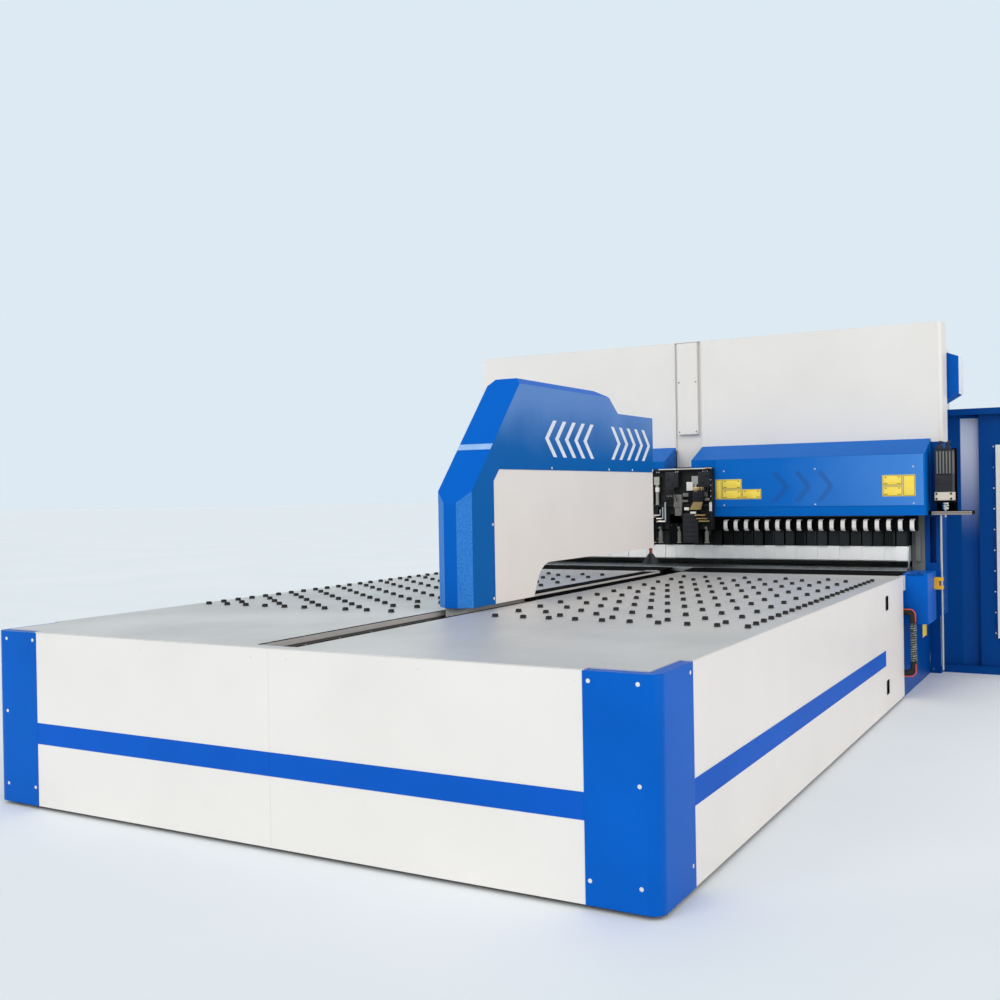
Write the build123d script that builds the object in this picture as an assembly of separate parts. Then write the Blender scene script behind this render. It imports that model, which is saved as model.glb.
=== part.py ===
from build123d import *
import os

# CNC sheet bending machine, in millimetres, with +Z up.
# The code works in machine axes: X to the right, Y from the table's front face
# towards the press, Z up from the floor, and X = 0 on the machine's centre line.
# At the end everything moves so that the origin is the bottom centre of the whole.

# Clearances
seat = 0.3                  # between two pieces that are bolted or laid together
running = 2.0               # between a sliding piece and what it passes

# Table
table_half_width = 1625
table_length = 4340
table_height = 800
floor_gap = 16              # under the table's panels
sheet_steel = 3             # panels, covers and hoods
top_sheet = 4               # thickness of the stainless table top
panel_setback = 2           # panels behind the face of the corner posts
panel_fold = 26             # top edge of a panel, folded inwards
post_width = 271            # corner post, along the front
post_depth = 323            # corner post, along the side
post_radius = 50
post_flange = 60            # flange on top of a corner post
post_notch = 46             # the table top is cut back this far over a corner post
stripe_low = 297
stripe_high = 391
stripe_thickness = 1.2
side_seam = 1863            # joint between the two long side panels
stripe_end = table_length - 606             # joint between the long and the rear side panel
slot_half_width = 85        # slot in the table for the feeder's neck
slot_start = 55
slot_lip = 23               # folded edge of the table top along the slot
window_height = 88          # cable window in the rear side panel
window_depth = 100
window_y = table_length - 545
window_high_z = table_height - 127
window_low_z = 159

# Brush pads on the table top
pad_size = 39
pad_height = 20
pad_edge_x = table_half_width - 97
pad_inner_x = 300           # extra pad at the slot in every second row
pad_columns = 9
pad_middle_x = 451.2        # innermost column
pad_pitch_x = (pad_edge_x - pad_middle_x) / (pad_columns - 1)
pad_first_y = 1271
pad_last_y = table_length - 503.8
pad_rows = 23
pad_pitch_y = (pad_last_y - pad_first_y) / (pad_rows - 1)

# Table frame, feet and feeder track
beam_tube = 60
leg_tube = 80
leg_stations = [160 + step * (table_length - 380) / 3 for step in range(4)]
low_bar_z = 180
foot_radius = 55
foot_height = 18
stud_radius = 12
leg_bottom = 90
track_z = table_height - 240                # top of the beams that carry the feeder's rails
track_x = 130               # centre of each feeder rail
rail_width = 34
rail_height = 28
screw_radius = 20
screw_z = track_z + 32                      # centre of the feed screw

# Feeder: a C-shaped arm that runs along the table
feeder_front = table_length - 2980          # front face of the cover's leg at rest
screw_end = feeder_front + 1600             # front face of the screw's rear bearing
cover_half_width = 100
facet_half_width = 36       # flat front face between the two corner cuts
facet_depth = 52
cover_bottom = table_height + 21
slope_start_z = cover_bottom + 524          # where the front face starts to lean back
slope_top_y = feeder_front + 599
crest_z = cover_bottom + 1185
crest_chamfer = 35
crest_end_y = feeder_front + 1589
drop_y = feeder_front + 1731
drop_z = crest_z - 25
step_y = feeder_front + 1876
arm_top_z = crest_z - 126
arm_end_y = feeder_front + 2461
leg_blue_y = feeder_front + 271             # rear edge of the blue cover on the leg
arm_blue_z = crest_z - 494                  # lower edge of the blue cover on the arm
blue_corner = 60
throat_z = cover_bottom + 178               # underside of the upper arm
throat_low_y = feeder_front + 701           # rear edge of the leg at the bottom
throat_corner_y = feeder_front + 790
throat_radius = 180
panel_lap = 30              # white side panels under the blue cover
frame_inset = 40            # C-frame inside the covers
frame_wall = 20
standoff_radius = 14        # pins between the C-frame and its covers
cover_pins = ((200, 179), (200, 509), (890, 979), (1540, 979))
panel_pins = ((540, 129), (840, 429), (1340, 329), (1940, 329), (1940, 599))
neck_half_width = 59
neck_front = feeder_front + 40
neck_rear = feeder_front + 708
lower_arm_half_width = 55
lower_arm_top = table_height + 25
lower_arm_depth = 149
lower_arm_end = feeder_front + 2725
strip_height = 12           # bright wear strip along the lower arm
strip_depth = 2
wiper_height = 20
carriage_thickness = 49
carriage_half_width = 175

# Clamp at the end of the feeder's arm
clamp_y = feeder_front + 2640
disc_radius = 55
disc_thickness = 4
disc_boss = 30
clamp_open = 49             # gap between the two clamp discs at rest
cone_rim = 12
cone_height = 72
cone_neck = 15
rod_radius = 9
piston_radius = 16
cylinder_radius = 42
cylinder_low = throat_z + 21
cylinder_high = cylinder_low + 190

# Press: columns, side frames and housing
press_face = table_length + 469             # front face of the housing
housing_bottom = table_height + 890
housing_height = 820
housing_top = housing_bottom + housing_height
housing_side_depth = 235
housing_radius = 26
column_inner = table_half_width + 65
column_outer = column_inner + 110
housing_half_width = column_outer + 15
column_depth = 231
column_chamfer = 12
column_bottom = table_height - 300
column_top = housing_top - 30
column_slot_low = table_height + 60
column_slot_high = column_slot_low + 316
column_slot_depth = 80
frame_plate_inner = table_half_width - 13
crown_high = housing_top - 110
crown_low = crown_high - 450
crown_wall = 25
throat_back = press_face + 662              # the side frames are open in front of this, low down
throat_chamfer = 60
rear_end = press_face + 1251
rear_top = housing_top - 70
cover_lift = 60             # lower edge of the rear covers
fascia_gap = 105            # half width of the gap between the two fascias
recess_depth = 18
centre_plate_bottom = table_height + 762
duct_half_width = 78
duct_bottom = housing_top - 698
duct_depth = 34

# Upper beam, its tools and its covers
beam_front = table_length + 300
beam_back = beam_front + 160
beam_bottom = table_height + 285
beam_top = beam_bottom + 401
beam_half_width = table_half_width - 23
ledge_half_width = table_half_width + 41
ear_half_width = table_half_width + 57
saddle_z = beam_top - 90     # top of the beam in its middle
rear_limb_back = beam_front + 350
rear_limb_low = beam_bottom + 105
rear_limb_high = rear_limb_low + 235
beam_lift = 130
tool_row_half_width = table_half_width - 25
tool_count = 42
tool_bottom = table_height + 70
tool_top = tool_bottom + 108
tool_front = beam_front + 40
tool_back = tool_front + 182
press_gap = 38              # between the upper and the lower tool at rest
hook_width = 28
hook_low = beam_bottom
hook_high = hook_low + 83
hook_reach = 52
hook_steel = 8
hook_shift = 43             # from a segment's inner edge
rod_x = table_half_width - 525              # lift rods, from the centre line
rod_y = beam_front + 265
lift_rod_radius = 40
lift_cylinder_radius = 85
rail_inner = frame_plate_inner + 20         # guide rails of the beam
rail_outer = rail_inner + 32
cover_front = beam_front - 80               # front face of the blue covers
blue_inner = 105
blue_outer = table_half_width + 112
blue_bottom = beam_bottom + 107
blue_fold = blue_bottom + 414
blue_top = blue_fold + 108

# Tool changer in the middle of the upper beam
changer_half_width = 280
changer_front = cover_front - 60
changer_low = beam_bottom + 15
changer_high = changer_low + 446
changer_shelf = changer_low + 170
changer_plate = 12
changer_bracket = 85
changer_lift = 100

# Bed, lower tool and apron
bed_front = beam_front
bed_back = bed_front + 140
lower_tool_depth = 50
apron_back = table_length + 290
apron_rise = 12
bed_plate_inner = frame_plate_inner - 52
bed_plate_outer = frame_plate_inner
bed_plate_back = press_face + 659
skid_height = 60

# Bending unit behind the tools
holder_half_width = tool_row_half_width - 55
blade_tip_y = tool_back + 43
holder_front = blade_tip_y + 105
holder_back = holder_front + 250
holder_mouth = 90
blade_carriage_front = holder_back + 70
blade_carriage_back = blade_carriage_front + 40
blade_rail_x = holder_half_width - 345
guide_stations = (500, holder_half_width - 145)
blade_shoe_height = 70
base_rail_height = 30

# Drive at the right-hand end
drive_x = column_outer + 40
drive_y = beam_front + 60
bracket_z = blue_bottom
motor_size = 116
motor_low = bracket_z + 153
motor_high = motor_low + 285
gearbox_low = motor_low - 56
shelf_thickness = 14
bracket_thickness = 26
bracket_end = drive_x + 173
shaft_radius = 8
coupling_radius = 22
guide_rod_low = 145

# Side boxes, cable loop and sensor
box_front = table_length + 60
box_back = box_front + 340
box_outer = table_half_width + 143
box_high = table_height + 12
box_low = box_high - 330
box_corner = 8
guide_rod_x = box_outer + 43
loop_x = table_half_width + 55
loop_y = table_length + 22
loop_high = table_height - 234
loop_low = 163
loop_radius = 21
loop_bend = 46
loop_drop = 70
sensor_low = table_height - 108
sensor_high = sensor_low + 78

# Cabinet beside the press
cabinet_width = 1136.7
cabinet_front = press_face + 791
cabinet_back = cabinet_front + 700
cabinet_height = 1951
cabinet_cap = 46
cabinet_overhang = 22
plinth_height = 55
plinth_reach = 40
groove = (134, 257)         # slanted facet in the cabinet's front, from its left edge
groove_depth = 40
door_width = 660
door_bottom = 265
door_top = 1680
door_depth = 22
handle_z = 1080             # axis of the door handle

# Cable hood on the right of the press
hood_outer = column_outer + 90
hood_high = housing_top - 158
hood_low = hood_high - 394

# Values that follow from the ones above
post_inner = table_half_width - post_width
panel_top = table_height - top_sheet - seat
panel_face = table_half_width - panel_setback
frame_half_width = panel_face - sheet_steel - panel_fold - seat
slot_beam = slot_half_width + top_sheet + 6
segment_pitch = 2 * tool_row_half_width / tool_count
lower_tool_top = tool_bottom - press_gap
disc_top = lower_arm_top + seat + disc_thickness
cone_base = disc_top + clamp_open
cone_top = cone_base + cone_height
carriage_top = track_z + 110
column_front = press_face + sheet_steel + seat
column_back = column_front + column_depth
rear_skin = column_inner + sheet_steel
cabinet_left = rear_skin + seat
bend_line = lower_tool_top + press_gap / 2
holder_low = bend_line - 359
holder_high = bend_line + 261
blade_carriage_low = holder_low - 192
base_rail_top = blade_carriage_low - blade_shoe_height
stand_top = base_rail_top - base_rail_height      # steel stands under the rails of the bending unit
cabinet_right = cabinet_left + cabinet_width
door_left = cabinet_left + 375
door_right = door_left + door_width

parts = {}


def flat(outline, inset=0.0):
    """A face inside an outline of points, with its edge moved in by inset."""
    following = outline[1:] + outline[:1]
    area = sum(a[0] * b[1] - b[0] * a[1] for a, b in zip(outline, following))
    points = outline if area > 0 else outline[::-1]
    face = make_face(Polyline(*points, close=True))
    return offset(face, -inset, kind=Kind.INTERSECTION) if inset else face


def both_ways(half):
    """A symmetric outline from the points of its right half."""
    return half + [(-x, y) for x, y in half[::-1]]


def block(x, y, z):
    """A box from three (low, high) pairs."""
    size = Box(x[1] - x[0], y[1] - y[0], z[1] - z[0])
    return Pos((x[0] + x[1]) / 2, (y[0] + y[1]) / 2, (z[0] + z[1]) / 2) * size


def along_x(face, x):
    """Extrude a face drawn in (y, z) over a (low, high) pair of x."""
    return extrude(Plane.YZ.offset(x[0]) * face, x[1] - x[0])


def along_y(face, y):
    """Extrude a face drawn in (x, z) over a (low, high) pair of y."""
    return extrude(Plane.XZ.offset(-y[1]) * face, y[1] - y[0])


def along_z(face, z):
    """Extrude a face drawn in (x, y) over a (low, high) pair of z."""
    return extrude(Plane.XY.offset(z[0]) * face, z[1] - z[0])


def pin_x(x, y, z, radius):
    """A round bar along X, from a (low, high) pair of x."""
    return Pos((x[0] + x[1]) / 2, y, z) * Rot(0, 90, 0) * Cylinder(radius, x[1] - x[0])


def pin_y(x, y, z, radius):
    """A round bar along Y, from a (low, high) pair of y."""
    return Pos(x, (y[0] + y[1]) / 2, z) * Rot(90, 0, 0) * Cylinder(radius, y[1] - y[0])


def pin_z(x, y, z, radius):
    """A round bar along Z, from a (low, high) pair of z."""
    return Pos(x, y, (z[0] + z[1]) / 2) * Cylinder(radius, z[1] - z[0])


def mirrored(*shapes):
    """The given pieces, followed by the same pieces on the other side."""
    return list(shapes) + [mirror(shape, about=Plane.YZ) for shape in shapes]


def upright_edge(shape, x, y):
    """The upright edge of a shape that lies nearest to (x, y)."""
    middle = shape.center().Z
    return shape.edges().filter_by(Axis.Z).sort_by_distance((x, y, middle))[0]


def node(name, *shapes):
    """Keep the solids of one named node."""
    parts[name] = [solid for shape in shapes for solid in shape.solids()]


def table_frame():
    """Tube frame under the table top, with the beams that carry the feeder's track."""
    top = (panel_top - beam_tube, panel_top)
    front = panel_setback + sheet_steel + panel_fold + seat
    inner = (slot_beam, slot_beam + beam_tube)
    outer = (frame_half_width - beam_tube, frame_half_width)
    leg_x = frame_half_width - leg_tube / 2
    half = leg_tube / 2
    low_bar = (low_bar_z, low_bar_z + leg_tube)
    long_y = (front + beam_tube, table_length)
    under_post = block(
        (post_inner - seat, table_half_width),
        (0, post_depth + seat),
        (panel_top - sheet_steel - seat, panel_top + 1),
    )
    tubes = [block(inner, long_y, top), block(outer, long_y, top) - under_post]
    crossings = [y - beam_tube / 2 for y in leg_stations[1:]] + [table_length - beam_tube]
    for y in crossings:
        tubes.append(block((inner[1], outer[0]), (y, y + beam_tube), top))
    track_y = (leg_stations[0] - half, leg_stations[-1] + half)
    tubes.append(block((track_x - half, track_x + half), track_y, (track_z - leg_tube, track_z)))
    for y in leg_stations:
        station = (y - half, y + half)
        tubes.append(block((leg_x - half, leg_x + half), station, (leg_bottom, top[0])))
        tubes.append(block((track_x - half, track_x + half), station, (leg_bottom, track_z - leg_tube)))
        tubes.append(block((track_x + half, leg_x - half), station, low_bar))
    pieces = mirrored(*tubes)
    bar_y = (front, front + beam_tube)
    front_bar = block((-frame_half_width, frame_half_width), bar_y, top)
    notch_z = (top[1] - slot_lip - 6, top[1] + 1)
    front_bar -= block((-slot_beam, slot_beam), (bar_y[0] - 1, bar_y[1] + 1), notch_z)
    for relief in mirrored(under_post):
        front_bar -= relief
    pieces.append(front_bar)
    for y in leg_stations:
        pieces.append(block((half - track_x, track_x - half), (y - half, y + half), low_bar))
    node("table_frame", *pieces)
    feet = []
    for y in leg_stations:
        for x in (-leg_x, -track_x, track_x, leg_x):
            stud = pin_z(x, y, (foot_height, leg_bottom - seat), stud_radius)
            feet.append(pin_z(x, y, (0, foot_height), foot_radius) + stud)
    node("levelling_feet", *feet)


def corner_post():
    """Folded corner post with a rounded edge and a flange at the top."""
    height = (floor_gap, panel_top)
    outer = block((post_inner, table_half_width), (0, post_depth), height)
    outer = fillet(upright_edge(outer, table_half_width, 0), post_radius)
    inside = table_half_width - sheet_steel
    inner = block(
        (post_inner - 1, inside), (sheet_steel, post_depth + 1), (height[0] - 1, height[1] - sheet_steel)
    )
    inner = fillet(upright_edge(inner, inside, sheet_steel), post_radius - sheet_steel)
    opening = block(
        (post_inner - 1, table_half_width - post_flange),
        (post_flange, post_depth + 1),
        (height[1] - sheet_steel - 1, height[1] + 1),
    )
    return outer - inner - opening


def side_panel(y):
    """White side panel over a (low, high) pair of y, with its top edge folded in."""
    plate = block((panel_face - sheet_steel, panel_face), y, (floor_gap, panel_top))
    fold_x = (panel_face - sheet_steel - panel_fold, panel_face)
    return plate + block(fold_x, y, (panel_top - sheet_steel, panel_top))


def table_panels():
    """Corner posts, white panels and blue stripes."""
    node("corner_posts", *mirrored(corner_post()))
    front_x = (seat, post_inner - seat)
    front = block(front_x, (panel_setback, panel_setback + sheet_steel), (floor_gap, panel_top))
    fold_y = (panel_setback, panel_setback + sheet_steel + panel_fold)
    front += block(front_x, fold_y, (panel_top - sheet_steel, panel_top))
    node("front_panels", *mirrored(front))
    first = (post_depth + seat, side_seam - seat)
    second = (side_seam + seat, stripe_end - seat)
    rear = side_panel((stripe_end + seat, table_length))
    for z in (window_high_z, window_low_z):
        rear -= block(
            (panel_face - 10, panel_face + 10),
            (window_y - window_depth / 2, window_y + window_depth / 2),
            (z - window_height / 2, z + window_height / 2),
        )
    node("side_panels", *mirrored(side_panel(first), side_panel(second), rear))
    band = (stripe_low, stripe_high)
    front_band = block(front_x, (panel_setback - seat - stripe_thickness, panel_setback - seat), band)
    side_x = (panel_face + seat, panel_face + seat + stripe_thickness)
    node("blue_stripes", *mirrored(front_band, block(side_x, first, band), block(side_x, second, band)))


def table_top():
    """Stainless top with folded edges round the feeder's slot, and its brush pads."""
    corner = table_half_width - post_notch
    half = [
        (post_inner + 6, panel_setback),
        (post_inner + 6, post_notch),
        (corner, post_notch),
        (corner, post_depth),
        (panel_face, post_depth),
        (panel_face, table_length),
    ]
    plate = along_z(flat(both_ways(half)), (table_height - top_sheet, table_height))
    rim = block(
        (-slot_half_width - top_sheet, slot_half_width + top_sheet),
        (slot_start - top_sheet, table_length),
        (table_height - slot_lip, table_height),
    )
    slot = block((-slot_half_width, slot_half_width), (slot_start, table_length + 1), (0, table_height + 1))
    node("table_top", (plate + rim) - slot)
    pads = []
    middle_z = table_height + (seat + pad_height) / 2
    for row in range(pad_rows):
        columns = [pad_edge_x]
        for column in range(1, pad_columns):
            if row == 0 or (row + column) % 2 == 0:
                columns.append(pad_edge_x - column * pad_pitch_x)
        if row % 2 == 0:
            columns.append(pad_inner_x)
        for x in columns:
            pad = Box(pad_size, pad_size, pad_height)
            pads.append(Pos(x, pad_first_y + row * pad_pitch_y, middle_z) * pad)
    node("brush_pads", *mirrored(*pads))


def feed_track():
    """Two linear rails, the feed screw in its two bearing blocks, and its motor."""
    half = leg_tube / 2
    y = (leg_stations[0] - half + 10, leg_stations[-1] + half - 10)
    rail_x = (track_x - rail_width / 2, track_x + rail_width / 2)
    rail = block(rail_x, y, (track_z + seat, track_z + seat + rail_height))
    width = (half - track_x + seat, track_x - half - seat)
    bearings = []
    for low_y in (y[0], screw_end):
        bearing = block(width, (low_y, low_y + 36), (track_z - leg_tube, screw_z + 34))
        bearings.append(bearing - pin_y(0, (low_y - 1, low_y + 37), screw_z, screw_radius + seat))
    node("feed_track", *mirrored(rail), *bearings)
    node("feed_screw", pin_y(0, (y[0] + 4, screw_end + 36), screw_z, screw_radius))
    node("feed_motor", block((-52, 52), (y[0] - 96, y[0] - seat), (screw_z - 52, screw_z + 52)))


def side_outline(bottom):
    """Side view of the feeder's cover with a closed throat, as (y, z) points."""
    return [
        (feeder_front, bottom),
        (feeder_front, slope_start_z),
        (slope_top_y, crest_z),
        (crest_end_y, crest_z),
        (drop_y, drop_z),
        (step_y, arm_top_z),
        (arm_end_y, arm_top_z),
        (arm_end_y, bottom),
    ]


def cover_form(inset, bottom):
    """The feeder's outer form, from its side, top and front outlines moved in by inset."""
    plan = both_ways(
        [
            (facet_half_width, feeder_front),
            (cover_half_width, feeder_front + facet_depth),
            (cover_half_width, arm_end_y),
        ]
    )
    section = both_ways(
        [
            (cover_half_width, bottom),
            (cover_half_width, crest_z - crest_chamfer),
            (cover_half_width - crest_chamfer, crest_z),
        ]
    )
    wide = (-cover_half_width - 1, cover_half_width + 1)
    form = along_x(flat(side_outline(bottom), inset), wide)
    form = form & along_z(flat(plan, inset), (bottom - 1, crest_z + 1))
    return form & along_y(flat(section, inset), (feeder_front - 1, arm_end_y + 1))


def arm_face(inset=0.0):
    """Side view of the C: leg and upper arm round the throat."""
    outline = side_outline(cover_bottom)[:-1]
    outline += [(arm_end_y, throat_z), (throat_corner_y, throat_z), (throat_low_y, cover_bottom)]
    face = flat(outline)
    corner = face.vertices().sort_by_distance((throat_corner_y, throat_z, 0))[0]
    face = fillet(corner, throat_radius)
    return offset(face, -inset, kind=Kind.INTERSECTION) if inset else face


def feeder_covers():
    """Blue folded cover and the white side panels that it laps over."""
    outer = cover_form(0, cover_bottom)
    cavity = cover_form(sheet_steel, cover_bottom - 20)
    window = [
        (leg_blue_y, cover_bottom - 1),
        (leg_blue_y, arm_blue_z - blue_corner),
        (leg_blue_y + blue_corner, arm_blue_z),
        (arm_end_y + 1, arm_blue_z),
        (arm_end_y + 1, cover_bottom - 1),
    ]
    wide = (-cover_half_width - 1, cover_half_width + 1)
    node("feeder_cover", outer - cavity - along_x(flat(window), wide))
    inner = cover_half_width - sheet_steel - seat
    low = leg_blue_y - panel_lap
    high = arm_blue_z + panel_lap
    end = arm_end_y - sheet_steel - seat
    side_end = end - sheet_steel - seat
    lapped = [
        (low, cover_bottom),
        (low, high - blue_corner),
        (low + blue_corner, high),
        (side_end, high),
        (side_end, cover_bottom),
    ]
    side = along_x(flat(lapped) & arm_face(), (inner - sheet_steel, inner))
    end_plate = block((-inner, inner), (end - sheet_steel, end), (throat_z, arm_blue_z - seat))
    opening = block(
        (-cylinder_radius, cylinder_radius), (end - 10, end + 10), (cylinder_low + 10, cylinder_high - 10)
    )
    node("feeder_side_panels", *mirrored(side), end_plate - opening)


def feeder_frame():
    """Box-section C-frame with its neck through the slot, and the pins for its covers."""
    wide = (-neck_half_width, neck_half_width)
    pocket_x = (-neck_half_width + frame_wall, neck_half_width - frame_wall)
    leg_top = cover_bottom + frame_inset
    frame = along_x(arm_face(frame_inset), wide)
    frame += block(wide, (neck_front, neck_rear), (carriage_top, leg_top + 30))
    pocket = along_x(arm_face(frame_inset + frame_wall), pocket_x)
    neck_pocket = (neck_front + frame_wall, neck_rear - frame_wall - 40)
    pocket += block(pocket_x, neck_pocket, (carriage_top - 1, leg_top + 60))
    frame -= pocket
    skin = cover_half_width - sheet_steel - seat
    for y_step, z_step in cover_pins + panel_pins:
        y, z = feeder_front + y_step, cover_bottom + z_step
        reach = skin if (y_step, z_step) in cover_pins else skin - sheet_steel - seat
        inside = block(pocket_x, (y - 20, y + 20), (z - 20, z + 20))
        frame += pin_x((-reach, reach), y, z, standoff_radius) - inside
    node("feeder_frame", frame)


def lower_arm():
    """Lower arm that runs in the slot, with its wear strips and the wipers at the neck."""
    start = neck_rear + seat
    low = lower_arm_top - lower_arm_depth
    side_view = [
        (start, low),
        (start, lower_arm_top),
        (lower_arm_end, lower_arm_top),
        (lower_arm_end, lower_arm_top - lower_arm_depth / 2),
        (lower_arm_end - 480, low),
    ]
    arm = along_x(flat(side_view), (-lower_arm_half_width, lower_arm_half_width))
    strip_x = (lower_arm_half_width - strip_depth, lower_arm_half_width)
    strip_y = (start + 8, lower_arm_end - 60)
    strip_low = lower_arm_top - strip_height
    for rebate in mirrored(block((strip_x[0], strip_x[1] + 1), strip_y, (strip_low, lower_arm_top + 1))):
        arm -= rebate
    arm -= pin_z(0, clamp_y, (lower_arm_top - 30, lower_arm_top + 1), disc_boss + seat)
    wiper = block(
        (neck_half_width + seat, slot_half_width + running),
        (neck_rear - 50, neck_rear),
        (table_height + seat, table_height + wiper_height),
    )
    node("feeder_lower_arm", arm, *mirrored(wiper))
    strip = block(
        (strip_x[0] + seat, strip_x[1] + seat),
        (strip_y[0] + seat, strip_y[1] - seat),
        (strip_low + seat, lower_arm_top),
    )
    node("arm_wear_strips", *mirrored(strip))


def feeder_carriage():
    """Carriage plate under the table, four runners on the rails and the screw nut."""
    top = carriage_top - seat
    plate_low = top - carriage_thickness
    plate_y = (neck_front, neck_rear + 290)
    pieces = [block((-carriage_half_width, carriage_half_width), plate_y, (plate_low, top))]
    groove_x = (track_x - rail_width / 2 - seat, track_x + rail_width / 2 + seat)
    for y in (plate_y[0] + 90, plate_y[1] - 90):
        runner = block((track_x - 40, track_x + 40), (y - 75, y + 75), (track_z + 8, plate_low - seat))
        runner -= block(groove_x, (y - 76, y + 76), (track_z, track_z + rail_height + 2 * seat))
        pieces += mirrored(runner)
    nut_y = (neck_front + 300, neck_front + 400)
    nut = block((-44, 44), nut_y, (track_z - 4, plate_low - seat))
    pieces.append(nut - pin_y(0, (nut_y[0] - 1, nut_y[1] + 1), screw_z, screw_radius + seat))
    node("feeder_carriage", *pieces)


def clamp():
    """Clamp cylinder, rod, turning cone and the turning disc on the lower arm."""
    bore = (cylinder_low + 25, cylinder_high - 25)
    bracket_x = cylinder_radius - running - 4
    bracket_y = (arm_end_y - frame_inset + seat, clamp_y)
    body = pin_z(0, clamp_y, (cylinder_low, cylinder_high), cylinder_radius)
    body += block((-bracket_x, bracket_x), bracket_y, (cylinder_low + 20, cylinder_high - 20))
    body -= pin_z(0, clamp_y, bore, piston_radius + seat)
    body -= pin_z(0, clamp_y, (cylinder_low - 1, bore[0] + 1), rod_radius + seat)
    node("clamp_cylinder", body)
    piston = (bore[0] + 55, bore[0] + 95)
    rod_low = cone_top - 30
    rod = pin_z(0, clamp_y, (rod_low, piston[1]), rod_radius)
    node("clamp_rod", rod + pin_z(0, clamp_y, piston, piston_radius))
    profile = [
        (0, cone_base),
        (disc_radius, cone_base),
        (disc_radius, cone_base + cone_rim),
        (cone_neck, cone_top),
        (0, cone_top),
    ]
    cone = Pos(0, clamp_y, 0) * revolve(Plane.XZ * flat(profile), Axis.Z)
    cone -= pin_z(0, clamp_y, (rod_low - seat, cone_top + 1), rod_radius + seat)
    node("clamp_cone", cone)
    disc = pin_z(0, clamp_y, (lower_arm_top + seat, disc_top), disc_radius)
    disc += pin_z(0, clamp_y, (lower_arm_top - 30 + seat, lower_arm_top + 1), disc_boss)
    node("clamp_disc", disc)


def bed():
    """Bed beam with the lower tool, bed side plates, skids and the black apron."""
    front = table_length + seat
    tool_base = lower_tool_top - lower_tool_depth
    side_view = [
        (front, 0),
        (front, panel_top),
        (apron_back - 6, panel_top),
        (apron_back - 6, tool_base - seat),
        (bed_plate_back, tool_base - seat),
        (bed_plate_back, 0),
    ]
    node("bed_side_plates", *mirrored(along_x(flat(side_view), (bed_plate_inner, bed_plate_outer))))
    inside = (-bed_plate_inner + seat, bed_plate_inner - seat)
    node("bed_beam", block(inside, (bed_front, bed_back), (skid_height, tool_base - seat)))
    tool = [
        (bed_front - 8, tool_base),
        (bed_front - 8, lower_tool_top - 16),
        (bed_front + 8, lower_tool_top),
        (tool_back, lower_tool_top),
        (tool_back, lower_tool_top - 18),
        (bed_back, tool_base),
    ]
    node("lower_tool", along_x(flat(tool), (-tool_row_half_width, tool_row_half_width)))
    low = (0, skid_height - seat)
    rear_y = (bed_plate_back + seat, bed_plate_back + 330)
    skids = [block(inside, (bed_back - 20, bed_back + 140), low), block(inside, rear_y, low)]
    stand_y = (blade_carriage_front - 160, rear_y[1])
    stand = block((blade_rail_x - 80, blade_rail_x + 80), stand_y, (skid_height, stand_top - seat))
    rail_z = (stand_top, base_rail_top - seat)
    rail = block((blade_rail_x - 20, blade_rail_x + 20), (stand_y[0], stand_y[1] - 40), rail_z)
    node("base_skids", *skids, *mirrored(stand, rail))
    sheet = [
        (front, table_height - top_sheet),
        (front, table_height),
        (apron_back, table_height + apron_rise),
        (apron_back, table_height + apron_rise - 5),
    ]
    apron = along_x(flat(sheet), (slot_half_width, bed_plate_inner + 38))
    rib_x = (slot_half_width, bed_plate_inner - seat)
    apron += block(rib_x, (apron_back - 40, apron_back - 34), (table_height - 100, table_height + 8))
    node("apron", *mirrored(apron))


def side_boxes():
    """Blue boxes on both sides behind the table, with a rounded corner, open below."""
    inner = bed_plate_outer + seat
    box = block((inner, box_outer), (box_front, box_back), (box_low, box_high))
    box = fillet(upright_edge(box, box_outer, box_front), box_corner)
    hollow_x = (inner + sheet_steel, box_outer - sheet_steel)
    hollow_y = (box_front + sheet_steel, box_back - sheet_steel)
    hollow = block(hollow_x, hollow_y, (box_low - 1, box_high - sheet_steel))
    box -= fillet(upright_edge(hollow, hollow_x[1], hollow_y[0]), box_corner - sheet_steel)
    node("side_boxes", *mirrored(box))


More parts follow.
